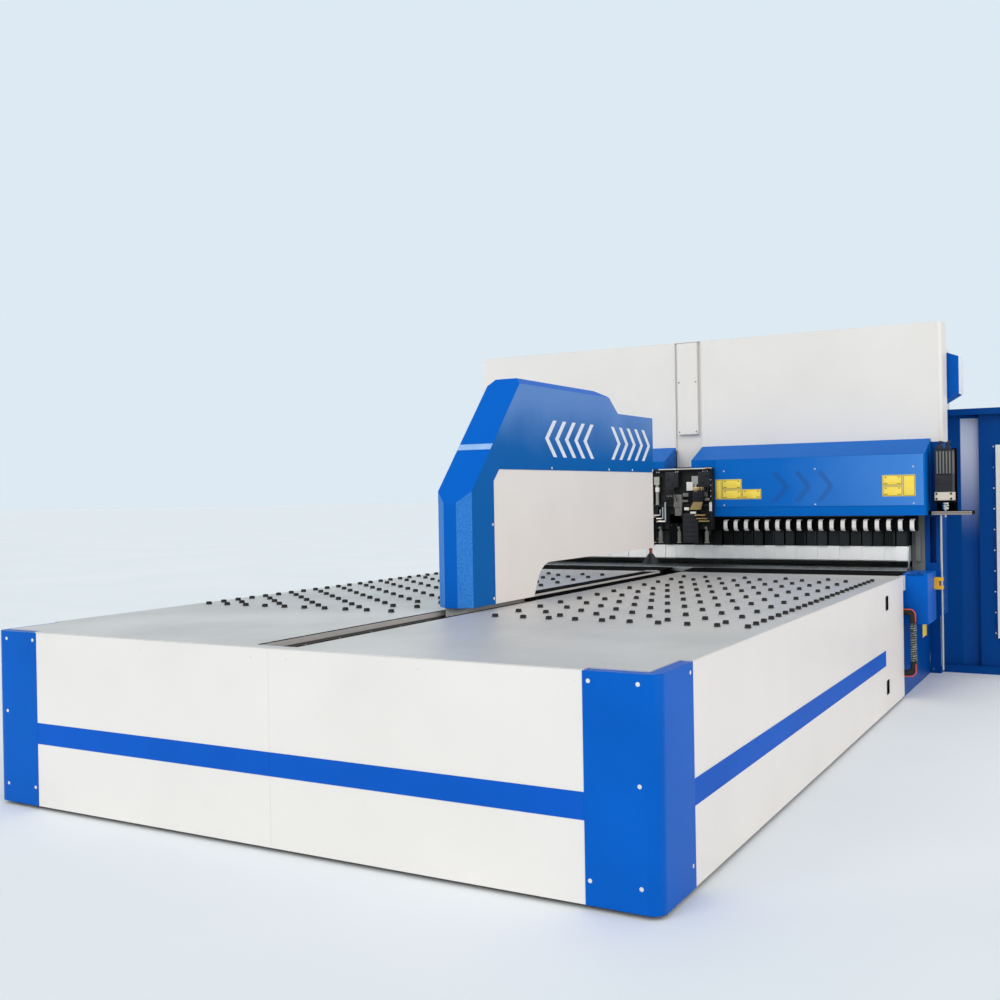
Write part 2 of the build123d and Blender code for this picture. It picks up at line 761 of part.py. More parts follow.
def press_frame():
    """Columns, C-shaped side frames, hollow crown beam, end plates and guide rails."""
    column_z = (column_bottom, column_top)
    column = block((column_inner, column_outer), (column_front, column_back), column_z)
    column = chamfer(upright_edge(column, column_outer, column_front), column_chamfer)
    column -= block(
        (column_inner + 32, column_outer - 38),
        (column_front - 1, column_front + column_slot_depth),
        (column_slot_low, column_slot_high),
    )
    plate_back = press_face + 24
    front = plate_back + seat
    side_view = [
        (front, column_bottom),
        (front, crown_high),
        (rear_end - seat, crown_high),
        (rear_end - seat, 0),
        (throat_back, 0),
        (throat_back, column_bottom - throat_chamfer),
        (throat_back - throat_chamfer, column_bottom),
    ]
    side = along_x(flat(side_view), (frame_plate_inner + seat, column_inner - seat))
    crown_y = (column_front + 60, column_back)
    crown = block((-frame_plate_inner, frame_plate_inner), crown_y, (crown_low, crown_high))
    crown -= block(
        (-frame_plate_inner - 1, frame_plate_inner + 1),
        (crown_y[0] + crown_wall, crown_y[1] - crown_wall),
        (crown_low + crown_wall, crown_high - crown_wall),
    )
    node("press_frame", *mirrored(column, side), crown)
    edge = rail_inner - 26
    plate_z = (column_bottom, housing_bottom - seat)
    plate = block((edge, column_inner - seat), (press_face, plate_back), plate_z)
    plate -= block((edge - 1, frame_plate_inner + seat), (press_face - 1, plate_back + 1), (0, panel_top))
    rail_z = (tool_bottom, housing_bottom - 45)
    rail = block((rail_inner, rail_outer), (beam_back - 14, press_face - seat), rail_z)
    node("end_plates", *mirrored(plate, rail))
    cylinder_z = (rear_limb_high + beam_lift + 85, crown_low - seat)
    cylinder = pin_z(rod_x, rod_y, cylinder_z, lift_cylinder_radius)
    cylinder -= pin_z(rod_x, rod_y, (cylinder_z[0] - 1, crown_low - 4), lift_rod_radius + seat)
    node("lift_cylinders", *mirrored(cylinder))


def fascias():
    """White fascias with rounded ends, and the plate and duct in the gap between them."""
    depth = (press_face, press_face + housing_side_depth)
    height = (housing_bottom, housing_top)
    outer = block((fascia_gap, housing_half_width), depth, height)
    outer = fillet(upright_edge(outer, housing_half_width, press_face), housing_radius)
    inside = (housing_half_width - sheet_steel, press_face + sheet_steel)
    inner = block((fascia_gap - 1, inside[0]), (inside[1], depth[1] + 1), (height[0] - 1, height[1] + 1))
    inner = fillet(upright_edge(inner, *inside), housing_radius - sheet_steel)
    node("fascias", *mirrored(outer - inner))
    recess_y = press_face + recess_depth
    edge = fascia_gap - seat
    plate = block((-edge, edge), (recess_y, recess_y + sheet_steel), (centre_plate_bottom, housing_top))
    for web in mirrored(block((edge - sheet_steel, edge), (press_face, recess_y + 1), height)):
        plate += web
    node("centre_plate", plate)
    duct_y = (recess_y - duct_depth, recess_y - seat)
    duct = block((-duct_half_width, duct_half_width), duct_y, (duct_bottom, housing_top - 6))
    inner_x = duct_half_width - sheet_steel
    hollow_y = (duct_y[0] + sheet_steel, recess_y)
    duct -= block((-inner_x, inner_x), hollow_y, (duct_bottom - 1, housing_top - 9))
    node("centre_duct", duct)


def rear_covers():
    """Roof, riser, side and rear covers of the press."""
    front_end = press_face + housing_side_depth
    back_end = rear_end + seat + sheet_steel
    lid_x = housing_half_width - 1
    lid_z = (housing_top + seat, housing_top + seat + sheet_steel)
    lid = block((-lid_x, lid_x), (press_face + 1, front_end), lid_z)
    for way in (-1, 1):
        lid = fillet(upright_edge(lid, way * lid_x, press_face + 1), housing_radius - 1)
    side_view = [
        (column_back + seat, column_bottom),
        (column_back + seat, rear_top),
        (rear_end, rear_top),
        (rear_end, cover_lift),
        (throat_back, cover_lift),
        (throat_back, column_bottom),
    ]
    side = along_x(flat(side_view), (column_inner, rear_skin))
    third = 2 * rear_skin / 3
    backs = []
    for index in range(3):
        x = -rear_skin + index * third
        backs.append(block((x + seat, x + third - seat), (rear_end + seat, back_end), (cover_lift, rear_top)))
    roof_z = (rear_top + seat, rear_top + seat + sheet_steel)
    roof = block((-rear_skin, rear_skin), (front_end + seat, back_end), roof_z)
    riser_x = column_inner - seat
    riser = block((-riser_x, riser_x), (front_end - sheet_steel, front_end), (roof_z[1] + seat, housing_top))
    node("rear_covers", lid, roof, riser, *mirrored(side), *backs)


def tool_section(front, toe):
    """Side view of one upper tool segment: shank, heel and a toe towards the blades."""
    return [
        (tool_front - front, tool_top - seat),
        (tool_front - front, tool_bottom + toe + 8),
        (tool_front + 12, tool_bottom + toe),
        (tool_back - 60, tool_bottom),
        (tool_back, tool_bottom),
        (tool_back, tool_bottom + 6),
        (tool_back - 46, tool_top - 14),
        (tool_back - 46, tool_top - seat),
    ]


def hook(x):
    """White curved clip that hangs on the beam above one tool segment."""
    outer = flat([(-hook_reach, hook_low), (0, hook_low), (0, hook_high), (-hook_reach, hook_high)])
    outer = fillet(outer.vertices().sort_by(Axis.X)[:2], hook_reach * 0.6)
    low = hook_low + hook_steel
    high = hook_high - hook_steel
    near = -hook_reach + hook_steel
    inner = flat([(near, low), (1, low), (1, high), (near, high)])
    inner = fillet(inner.vertices().sort_by(Axis.X)[:2], hook_reach * 0.6 - hook_steel)
    opening = flat([(-14, hook_low - 1), (1, hook_low - 1), (1, high), (-14, high)])
    clip = Pos(beam_front - seat, 0) * (outer - inner - opening)
    return along_x(clip, (x - hook_width / 2, x + hook_width / 2))


def upper_beam():
    """Moving beam with lift rods and runners, and its row of holders, tools and hooks."""
    beam = block((-beam_half_width, beam_half_width), (beam_front, beam_back), (beam_bottom, beam_top))
    ear_z = (beam_bottom + 145, beam_top - 6)
    beam += block((-ear_half_width, ear_half_width), (beam_front + 60, beam_back - 30), ear_z)
    ledge_y = (beam_front, beam_front + 70)
    beam += block((-ledge_half_width, ledge_half_width), ledge_y, (beam_bottom, beam_top))
    limb_x = (-bed_plate_inner, bed_plate_inner)
    beam += block(limb_x, (beam_back - 1, rear_limb_back), (rear_limb_low, rear_limb_high))
    centre = segment_pitch + running
    notch_z = (beam_bottom - 1, beam_bottom + changer_lift + 12)
    beam -= block((-centre, centre), (beam_front - 1, beam_back + 1), notch_z)
    saddle = (-blue_inner - 15, blue_inner + 15)
    beam -= block(saddle, (beam_front - 1, beam_back + 1), (saddle_z, beam_top + 1))
    runners = []
    for z in (beam_bottom + 155, beam_bottom + 300):
        runner = block(
            (rail_inner - 16, rail_outer + 16), (beam_back - 30 + seat, press_face - 3), (z, z + 90)
        )
        groove = block(
            (rail_inner - seat, rail_outer + seat), (beam_back - 14 - seat, press_face), (z - 1, z + 91)
        )
        runners.append(runner - groove)
    rod = pin_z(rod_x, rod_y, (rear_limb_high + seat, crown_low - beam_lift - 40), lift_rod_radius)
    node("upper_beam", beam, *mirrored(rod, *runners))
    holders, tools, hooks = [], [], []
    for index in range(tool_count // 2 + 1, tool_count):
        x = -tool_row_half_width + index * segment_pitch
        span = (x + seat / 2, x + segment_pitch - seat / 2)
        is_end = index == tool_count - 1
        section = tool_section(10, 2) if is_end else tool_section(6 * (index % 2), 4)
        tools.append(along_x(flat(section), span))
        front = tool_front - 24 + 8 * (index % 2) + 5 * (index % 3)
        holders.append(block((span[0] + 4, span[1] - 4), (front, beam_back), (tool_top, beam_bottom - seat)))
        if x > changer_half_width:
            hooks.append(hook(x + hook_shift))
    hooks.append(hook(tool_row_half_width + hook_shift))
    node("upper_tools", *mirrored(*tools))
    node("tool_holders", *mirrored(*holders))
    node("tool_hooks", *mirrored(*hooks))


def blue_covers():
    """Blue covers over the beam, right and left of the tool changer."""
    back = press_face - seat
    outer = [(cover_front, blue_bottom), (cover_front, blue_fold), (back, blue_top), (back, blue_bottom)]
    lip = cover_front + 26
    inner = [
        (lip, blue_bottom - 1),
        (lip, blue_bottom + sheet_steel),
        (cover_front + sheet_steel, blue_bottom + sheet_steel),
        (cover_front + sheet_steel, blue_fold - 2),
        (back + 1, blue_top - sheet_steel),
        (back + 1, blue_bottom - 1),
    ]
    cover = along_x(flat(outer), (blue_inner, blue_outer))
    cover -= along_x(flat(inner), (blue_inner + sheet_steel, blue_outer - sheet_steel))
    end_x = (blue_inner - 1, blue_inner + sheet_steel + 1)
    path_z = (blue_bottom - 1, saddle_z + beam_lift + 12)
    cover -= block(end_x, (beam_front - 6, back + 1), path_z)
    limb_z = (blue_bottom - 1, rear_limb_high + beam_lift + 12)
    cover -= block(end_x, (beam_back - 6, back + 1), limb_z)
    node("blue_covers", *mirrored(cover))
    panel_x = (changer_half_width + 10, blue_outer - 11)
    panel_y = (cover_front - sheet_steel - seat, cover_front - seat)
    node("cover_panels", *mirrored(block(panel_x, panel_y, (blue_bottom + 69, blue_fold - 2))))


def tool_changer():
    """Open mechanism that lifts the middle tool segment out of the row."""
    wall = changer_plate
    wide = (-changer_half_width, changer_half_width)
    back_y = (cover_front - wall - 3, cover_front - 3)
    frame = block(wide, back_y, (changer_low, changer_high))
    frame += block(wide, (changer_front, back_y[0] + 1), (changer_high - wall, changer_high))
    frame += block(wide, (changer_front + 8, back_y[0] + 1), (changer_shelf, changer_shelf + wall))
    cheek_x = (changer_half_width - wall, changer_half_width)
    for cheek in mirrored(block(cheek_x, (changer_front, back_y[0] + 1), (changer_low, changer_high))):
        frame += cheek
    low = changer_low + changer_lift + 10
    bracket_y = (back_y[1] - 1, beam_front - seat)
    frame += block((-changer_bracket, changer_bracket), bracket_y, (low, changer_high - 60))
    gate = changer_bracket - 20
    frame -= block((-gate, gate), (changer_front, back_y[1] + 1), (changer_low - 1, low))
    node("changer_frame", frame)
    rod_line = changer_front + 26
    head_z = (changer_high - 116, changer_high - 56)
    cylinder = pin_z(150, rod_line, (changer_shelf + wall + seat, head_z[0] - seat), 17)
    head = block((126, 174), (changer_front + 6, changer_front + 44), head_z)
    node("changer_cylinders", *mirrored(cylinder, head))
    bar_z = (changer_low + 50, changer_low + 90)
    bar = block((96, cheek_x[0] - seat), (changer_front + 10, changer_front + 40), bar_z)
    pins = [pin_z(x, rod_line, (changer_low - 40, bar_z[0] - seat), 9) for x in (120, 250)]
    link = pin_z(150, rod_line, (bar_z[1] + seat, changer_shelf - seat), 9)
    node("changer_pins", *mirrored(bar, link, *pins))
    centre = segment_pitch - seat / 2
    carrier = along_x(flat(tool_section(0, 4)), (-centre, centre))
    grip_z = (tool_top - 1, beam_bottom - seat)
    carrier += block((-centre + 6, centre - 6), (tool_front - 10, beam_back), grip_z)
    arm_y = (changer_front + 14, tool_front - 9)
    carrier += block((-30, 30), arm_y, (tool_top + 30, beam_bottom - 20))
    carrier += block((-55, 55), (arm_y[0] - 4, arm_y[0] + 22), (tool_top + 16, beam_bottom + 60))
    node("changer_slide", carrier)


def drive():
    """Servo motor, gearbox, coupling and bracket at the right-hand end, and the long guide rod."""
    half = motor_size / 2
    top = bracket_z + bracket_thickness
    back = column_front - seat
    plate = block((blue_outer + seat, bracket_end), (drive_y - 40, back), (bracket_z, top))
    plate -= pin_z(drive_x, drive_y, (bracket_z - 1, top + 1), shaft_radius + 4)
    wall_y = (back - shelf_thickness, back)
    wall = block((drive_x - half - 8, drive_x + half + 8), wall_y, (top - 1, motor_high + 10))
    shelf_y = (drive_y - half - 4, wall_y[0] + 1)
    shelf_z = (gearbox_low - shelf_thickness, gearbox_low)
    shelf = block((drive_x - half - 4, drive_x + half + 4), shelf_y, shelf_z)
    shelf -= pin_z(drive_x, drive_y, (shelf_z[0] - 1, shelf_z[1] + 1), coupling_radius + 4)
    node("motor_bracket", plate + wall + shelf)
    node("guide_rod", pin_z(guide_rod_x, drive_y, (guide_rod_low, bracket_z - seat), shaft_radius))
    square = (drive_x - half, drive_x + half), (drive_y - half, drive_y + half)
    node("gearbox", block(*square, (gearbox_low + seat, motor_low - seat)))
    body_x = (square[0][0] + 3, square[0][1] - 3)
    body_y = (square[1][0] + 3, square[1][1] - 3)
    motor = block(body_x, body_y, (motor_low, motor_high))
    for step in range(-2, 3):
        x = drive_x + 20 * step
        for y in body_y:
            motor -= block((x - 5, x + 5), (y - 5, y + 5), (motor_low + 90, motor_high - 40))
    node("servo_motor", motor)
    shaft = pin_z(drive_x, drive_y, (bracket_z - 16, gearbox_low), shaft_radius)
    shaft += pin_z(drive_x, drive_y, (top + 10, shelf_z[0] + 1), coupling_radius)
    node("drive_shaft", shaft)


def bending_unit():
    """C-shaped blade holder behind the tools, on a carriage that runs on base rails."""
    mouth = holder_mouth
    side_view = [
        (holder_front, bend_line + mouth),
        (holder_front, bend_line + mouth + 80),
        (holder_front + 150, holder_high),
        (holder_back, holder_high),
        (holder_back, holder_low),
        (holder_front + 150, holder_low),
        (holder_front, bend_line - mouth - 80),
        (holder_front, bend_line - mouth),
        (holder_front + 100, bend_line - mouth + 14),
        (holder_front + 100, bend_line + mouth - 14),
    ]
    width = (-holder_half_width, holder_half_width)
    node("blade_holder", along_x(flat(side_view), width))
    front = holder_front - seat
    blades = []
    for way in (-1, 1):
        tip = bend_line + way * 24
        blade = [
            (front, bend_line + way * (mouth + 30)),
            (blade_tip_y, tip + way * 14),
            (blade_tip_y, tip),
            (blade_tip_y + 22, tip - way * 3),
            (front, bend_line + way * (mouth - 34)),
        ]
        blades.append(along_x(flat(blade), width))
    node("bending_blades", *blades)
    carriage_z = (blade_carriage_low, holder_high + 38)
    carriage = block(width, (blade_carriage_front, blade_carriage_back), carriage_z)
    shoe_y = (blade_carriage_front - 100, blade_carriage_back + 100)
    shoe_z = (base_rail_top, blade_carriage_low + 1)
    for shoe in mirrored(block((blade_rail_x - 60, blade_rail_x + 60), shoe_y, shoe_z)):
        carriage += shoe
    guide_y = (holder_back + seat, blade_carriage_front - seat)
    guide_z = (holder_low + 68, holder_high - 72)
    guides = [block((x - 40, x + 40), guide_y, guide_z) for x in guide_stations]
    node("blade_carriage", carriage, *mirrored(*guides))


def cable_loop():
    """Two elbows and the straight hose between them, beside the press."""
    wall = bed_plate_outer + seat
    pieces = []
    for z, way in ((loop_high, -1), (loop_low, 1)):
        start = (wall, loop_y, z)
        end = (loop_x, loop_y, z + way * loop_drop)
        path = FilletPolyline(start, (loop_x, loop_y, z), end, radius=loop_bend)
        section = Plane(origin=start, z_dir=(1, 0, 0)) * Circle(loop_radius)
        pieces.append(sweep(section, path=path))
    hose_z = (loop_low + loop_drop + seat, loop_high - loop_drop - seat)
    node("cable_loop", *pieces, pin_z(loop_x, loop_y, hose_z, loop_radius - 3))


def fork_sensor():
    """Yellow fork sensor that the guide rod passes through."""
    x = (box_outer + seat, guide_rod_x + 10)
    y = (drive_y - 40, drive_y + 22)
    body = block(x, y, (sensor_low, sensor_high))
    body -= block((x[0] + 24, x[1] + 1), (y[0] - 1, y[1] + 1), (sensor_low + 22, sensor_high - 22))
    body -= pin_z(guide_rod_x, drive_y, (sensor_low - 1, sensor_high + 1), shaft_radius + 4)
    node("fork_sensor", body)


def cabinet():
    """Control cabinet with a facetted front, plinth, roof cap, door and mounting plate."""
    body_top = cabinet_height - cabinet_cap
    plan = [
        (cabinet_left, cabinet_front),
        (cabinet_left + groove[0], cabinet_front),
        (cabinet_left + groove[1], cabinet_front + groove_depth),
        (cabinet_left + groove[1], cabinet_front),
        (cabinet_right, cabinet_front),
        (cabinet_right, cabinet_back),
        (cabinet_left, cabinet_back),
    ]
    floor = plinth_height + sheet_steel
    body = along_z(flat(plan), (plinth_height, body_top - seat))
    body -= along_z(flat(plan, sheet_steel), (floor, body_top - seat - sheet_steel))
    lip = 24
    doorway = (door_left + lip, door_right - lip)
    body -= block(doorway, (cabinet_front - 1, cabinet_front + 10), (door_bottom + lip, door_top - lip))
    plinth_y = (cabinet_front - plinth_reach, cabinet_back)
    plinth = block((cabinet_left, cabinet_right), plinth_y, (0, plinth_height))
    wall = 2 * sheet_steel
    body += plinth - block(
        (cabinet_left + wall, cabinet_right - wall),
        (cabinet_front - plinth_reach + wall, cabinet_back - wall),
        (-1, plinth_height - wall),
    )
    right = cabinet_right + cabinet_overhang
    front = cabinet_front - plinth_reach - 20
    back = cabinet_back + cabinet_overhang
    roof = block((cabinet_left, right), (front, back), (body_top, cabinet_height))
    rim = cabinet_overhang + 8
    pocket_z = (body_top - 1, cabinet_height - sheet_steel)
    roof -= block((cabinet_left + rim, right - rim), (front + rim, back - rim), pocket_z)
    hinges = []
    for z in (door_bottom + 130, (door_bottom + door_top) / 2, door_top - 130):
        hinges.append(pin_z(door_left - 8 - seat, cabinet_front - 8 - seat, (z - 40, z + 40), 8))
    node("cabinet_body", body, roof, *hinges)
    face = cabinet_front - seat
    door = block((door_left, door_right), (face - door_depth, face), (door_bottom, door_top))
    door -= block(
        (door_left + sheet_steel, door_right - sheet_steel),
        (face - door_depth + sheet_steel, face + 1),
        (door_bottom + sheet_steel, door_top - sheet_steel),
    )
    node("cabinet_door", door)
    grip_x = door_right - 70
    skin = face - door_depth
    grip_z = (handle_z - 120, handle_z + 20)
    handle = block((grip_x - 12, grip_x + 12), (skin - 34, skin - 18), grip_z)
    node("door_handle", handle + pin_y(grip_x, (skin - 20, skin - seat), handle_z, 15))
    board_y = (cabinet_back - sheet_steel - 30, cabinet_back - sheet_steel - seat)
    board_x = (cabinet_left + 380, cabinet_right - 50)
    node("mounting_plate", block(board_x, board_y, (floor + 80, body_top - 80)))


def cable_hood():
    """Slanted cable hood on the right of the press, open towards its side cover."""
    inner = rear_skin + seat
    bend = column_outer - 50
    outline = [
        (inner, hood_low + 16),
        (bend, hood_low),
        (hood_outer, hood_low + 82),
        (hood_outer, hood_high - 60),
        (bend, hood_high - 6),
        (inner, hood_high),
    ]
    y = (column_back + 18, column_back + 258)
    inside_y = (y[0] + sheet_steel, y[1] - sheet_steel)
    hood = along_y(flat(outline), y) - along_y(flat(outline, sheet_steel), inside_y)
    mouth_z = (hood_low + 16 + sheet_steel, hood_high - sheet_steel)
    node("cable_hood", hood - block((inner - 1, inner + sheet_steel + 1), inside_y, mouth_z))


def everything():
    table_frame()
    table_panels()
    table_top()
    feed_track()
    feeder_covers()
    feeder_frame()
    lower_arm()
    feeder_carriage()
    clamp()
    bed()
    side_boxes()
    press_frame()
    fascias()
    rear_covers()
    upper_beam()
    blue_covers()
    tool_changer()
    drive()
    bending_unit()
    cable_loop()
    fork_sensor()
    cabinet()
    cable_hood()


everything()
boxes = [solid.bounding_box() for solids in parts.values() for solid in solids]
middle_x = (min(box.min.X for box in boxes) + max(box.max.X for box in boxes)) / 2
middle_y = (min(box.min.Y for box in boxes) + max(box.max.Y for box in boxes)) / 2
print("machine axes to row axes, mm:", -middle_x, -middle_y)

os.makedirs("parts", exist_ok=True)
for name, solids in parts.items():
    shape = solids[0] if len(solids) == 1 else Compound(children=solids)
    export_step(Pos(-middle_x, -middle_y, 0) * shape, f"parts/{name}.step")
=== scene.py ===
import math
import bmesh
import bpy
from mathutils import Matrix, Vector


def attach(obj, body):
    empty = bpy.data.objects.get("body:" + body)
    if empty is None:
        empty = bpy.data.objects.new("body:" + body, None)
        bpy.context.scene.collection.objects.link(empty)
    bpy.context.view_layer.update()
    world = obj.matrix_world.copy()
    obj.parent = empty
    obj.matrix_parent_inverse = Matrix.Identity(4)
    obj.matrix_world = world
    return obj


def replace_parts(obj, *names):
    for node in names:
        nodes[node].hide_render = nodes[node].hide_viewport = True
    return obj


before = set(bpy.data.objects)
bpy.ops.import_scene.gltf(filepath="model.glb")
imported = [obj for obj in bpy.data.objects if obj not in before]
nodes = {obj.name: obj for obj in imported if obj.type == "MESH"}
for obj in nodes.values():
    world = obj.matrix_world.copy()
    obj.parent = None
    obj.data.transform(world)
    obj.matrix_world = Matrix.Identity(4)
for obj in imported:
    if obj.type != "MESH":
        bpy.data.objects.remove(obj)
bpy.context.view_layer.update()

# Places are given in the machine's own axes, in millimetres: X = 0 on the centre line,
# Y = 0 at the table's front face, Z = 0 on the floor.
MM = 0.001
CENTRE_X, FRONT_Y = -0.5185, -3.161      # where those axes start in the row frame, in metres
TO_ROW = Matrix.Translation((CENTRE_X, FRONT_Y, 0)) @ Matrix.Scale(MM, 4)


def at(x, y, z):
    """A point in machine axes as a point of the row frame, in metres."""
    return TO_ROW @ Vector((x, y, z))


# Camera: placed where the photograph was taken from, as solved from the table's straight edges

CAMERA_PLACE = (2963.4, -3381.8, 1385.3)
YAW, PITCH, ROLL = (math.radians(angle) for angle in (29.44, -0.32, -0.99))
FILM_WIDTH = 36
FOCAL_LENGTH = FILM_WIDTH * 1.1284


def photo_camera():
    """Camera with the photograph's position, turn and lens."""
    level = math.cos(PITCH)
    ahead = Vector((-math.sin(YAW) * level, math.cos(YAW) * level, math.sin(PITCH)))
    right = ahead.cross(Vector((0, 0, 1))).normalized()
    up = right.cross(ahead)
    tilted_right = math.cos(ROLL) * right + math.sin(ROLL) * up
    tilted_up = math.cos(ROLL) * up - math.sin(ROLL) * right
    data = bpy.data.cameras.new("photo_camera")
    data.sensor_width = FILM_WIDTH
    data.lens = FOCAL_LENGTH
    data.clip_end = 200
    camera = bpy.data.objects.new("photo_camera", data)
    turn = Matrix((tilted_right, tilted_up, -ahead)).transposed().to_4x4()
    camera.matrix_world = Matrix.Translation(at(*CAMERA_PLACE)) @ turn
    bpy.context.collection.objects.link(camera)
    bpy.context.scene.camera = camera


photo_camera()


# Materials. Every pattern is sized in mm: 1000 / size is its scale, as object coordinates are in metres.

CLOUD, PANEL_CLOUD, FEEDER_CLOUD, FLOOR_CLOUD = 476, 333, 385, 1667     # patches of a slightly different tone; they also break up the edge of the painted reflection on the panels and of the painted sheen on the feeder
HAZE, DULL = 588, 71.4               # duller patches on bare metal, and on plastic, rubber and film
PEEL, COVER_PEEL = 9, 9.09           # dimples of a powder coat, drawn coarser than the real 1 to 2 mm to show
GRAIN = 4                            # moulded grain, drawn coarser than the real one of under 1 mm
LINE_PITCH, LINE_RUN = 3, 833        # brushed, ground or turned lines: real ones lie closer than 0.5 mm,
TOOL_PITCH, TOOL_RUN = 3.85, 500     # so these, and the upright ones on the tools, are drawn coarser to show
TOOL_WIDTH = 76.2                    # one upper tool segment with its share of the gap
FLECK = 11.1                         # the leads that show between the turns of the spiral wrap
BRISTLE = 3.125                      # bundles of bristles, since single ones of 0.3 mm wouldn't show


def rgb(code):
    """An sRGB hex colour as linear RGBA."""
    parts = [int(code[k:k + 2], 16) / 255 for k in (0, 2, 4)]
    return tuple(c / 12.92 if c <= 0.04045 else ((c + 0.055) / 1.055) ** 2.4 for c in parts) + (1.0,)


def add(tree, kind, inputs=None, to=None, **settings):
    """Adds one node. Inputs are values, hex colours or sockets to link; its first output may feed a socket."""
    made = tree.nodes.new(kind)
    for key, value in settings.items():
        setattr(made, key, value)
    for key, value in (inputs or {}).items():
        if isinstance(value, bpy.types.NodeSocket):
            tree.links.new(value, made.inputs[key])
        else:
            made.inputs[key].default_value = rgb(value) if isinstance(value, str) else value
    if to is not None:
        tree.links.new(made.outputs[0], to)
    return made


def new_finish(name, rough, metal=0.0):
    """A new material with its node tree, its shader and its object coordinates."""
    made = bpy.data.materials.new(name)
    made.use_nodes = True
    tree = made.node_tree
    shader = tree.nodes["Principled BSDF"]
    shader.inputs["Metallic"].default_value = metal
    shader.inputs["Roughness"].default_value = rough
    place = add(tree, "ShaderNodeTexCoord").outputs["Object"]
    return made, tree, shader, place


def blend_colours(tree, shader, factor, first, second, low=0.35, high=0.65):
    """Base colour that goes from first to second as factor goes from low to high."""
    part = add(tree, "ShaderNodeMapRange", {0: factor, 1: low, 2: high}).outputs[0]
    mix = add(tree, "ShaderNodeMix", {0: part, 6: first, 7: second}, data_type="RGBA")
    tree.links.new(mix.outputs[2], shader.inputs["Base Color"])


def orange_peel(tree, shader, place, size=COVER_PEEL, fractal=0.5, strength=0.5, depth=0.3):
    """The soft dimples of a powder coat, with their width and depth in mm."""
    peel = add(tree, "ShaderNodeTexNoise",
               {"Vector": place, "Scale": 1000 / size, "Detail": 2.0, "Roughness": fractal}).outputs[0]
    add(tree, "ShaderNodeBump", {"Height": peel, "Strength": strength, "Distance": depth * MM},
        to=shader.inputs["Normal"])
    return peel


def fine_lines(tree, place, along, pitch, run, fractal=0.5):
    """Lines along one axis, with their pitch and run in mm."""
    scale = [1000 / pitch] * 3
    scale["XYZ".index(along)] = 1000 / run
    stretched = add(tree, "ShaderNodeMapping", {"Vector": place, "Scale": scale}).outputs[0]
    return add(tree, "ShaderNodeTexNoise",
               {"Vector": stretched, "Scale": 1.0, "Detail": 3.0, "Roughness": fractal}).outputs[0]


def distance(tree, coordinate, plane):
    """How far a coordinate lies from a plane on either side, in metres."""
    apart = add(tree, "ShaderNodeMath", {0: coordinate, 1: plane}, operation="SUBTRACT").outputs[0]
    return add(tree, "ShaderNodeMath", {0: apart}, operation="ABSOLUTE").outputs[0]


def masked(tree, part, limits):
    """A mask cut down by limits, each (value, where the mask is whole, where it is gone)."""
    for value, whole, gone in limits:
        inside = add(tree, "ShaderNodeMapRange", {0: value, 1: whole, 2: gone, 3: 1.0, 4: 0.0}).outputs[0]
        part = add(tree, "ShaderNodeMath", {0: part, 1: inside}, operation="MULTIPLY").outputs[0]
    return part


def powder_coat(name, colour, shade, rough=0.34, coat=0.02, shine=0.06):
    """Polyester powder coat or enamel on steel: an orange peel and a slight cloudiness."""
    made, tree, shader, place = new_finish(name, rough)
    peel = orange_peel(tree, shader, place, PEEL, fractal=0.55, strength=0.55, depth=0.35)
    cloud = add(tree, "ShaderNodeTexNoise", {"Vector": place, "Scale": 1000 / CLOUD, "Detail": 3.0})
    blend_colours(tree, shader, cloud.outputs[0], colour, shade, 0.3, 0.8)
    add(tree, "ShaderNodeMapRange", {0: peel, 3: rough - 0.06, 4: rough + 0.08}, to=shader.inputs["Roughness"])
    shader.inputs["Specular IOR Level"].default_value = shine
    shader.inputs["Coat Weight"].default_value = coat
    shader.inputs["Coat Roughness"].default_value = 0.22
    return made


def panel_coat_painted_reflection(name, colour, sheen):
    """The cover panels' coat, with a painted reflection that lightens it softly towards the panels' outer ends.
    """
    made, tree, shader, place = new_finish(name, 0.3)
    across = add(tree, "ShaderNodeSeparateXYZ", {0: place}).outputs[0]
    out = distance(tree, across, CENTRE_X)
    cloud = add(tree, "ShaderNodeTexNoise",
                {"Vector": place, "Scale": 1000 / PANEL_CLOUD, "Detail": 2.0}).outputs[0]
    # The painted reflection grows from 1.0 to 2.1 m off the centre line, with half the cloud added, so that the
    # change has no straight edge
    clouded = add(tree, "ShaderNodeMath", {0: cloud, 1: 0.5, 2: out}, operation="MULTIPLY_ADD").outputs[0]
    blend_colours(tree, shader, clouded, colour, sheen, 1.0, 2.1)
    orange_peel(tree, shader, place)
    shader.inputs["Specular IOR Level"].default_value = 0.1
    return made


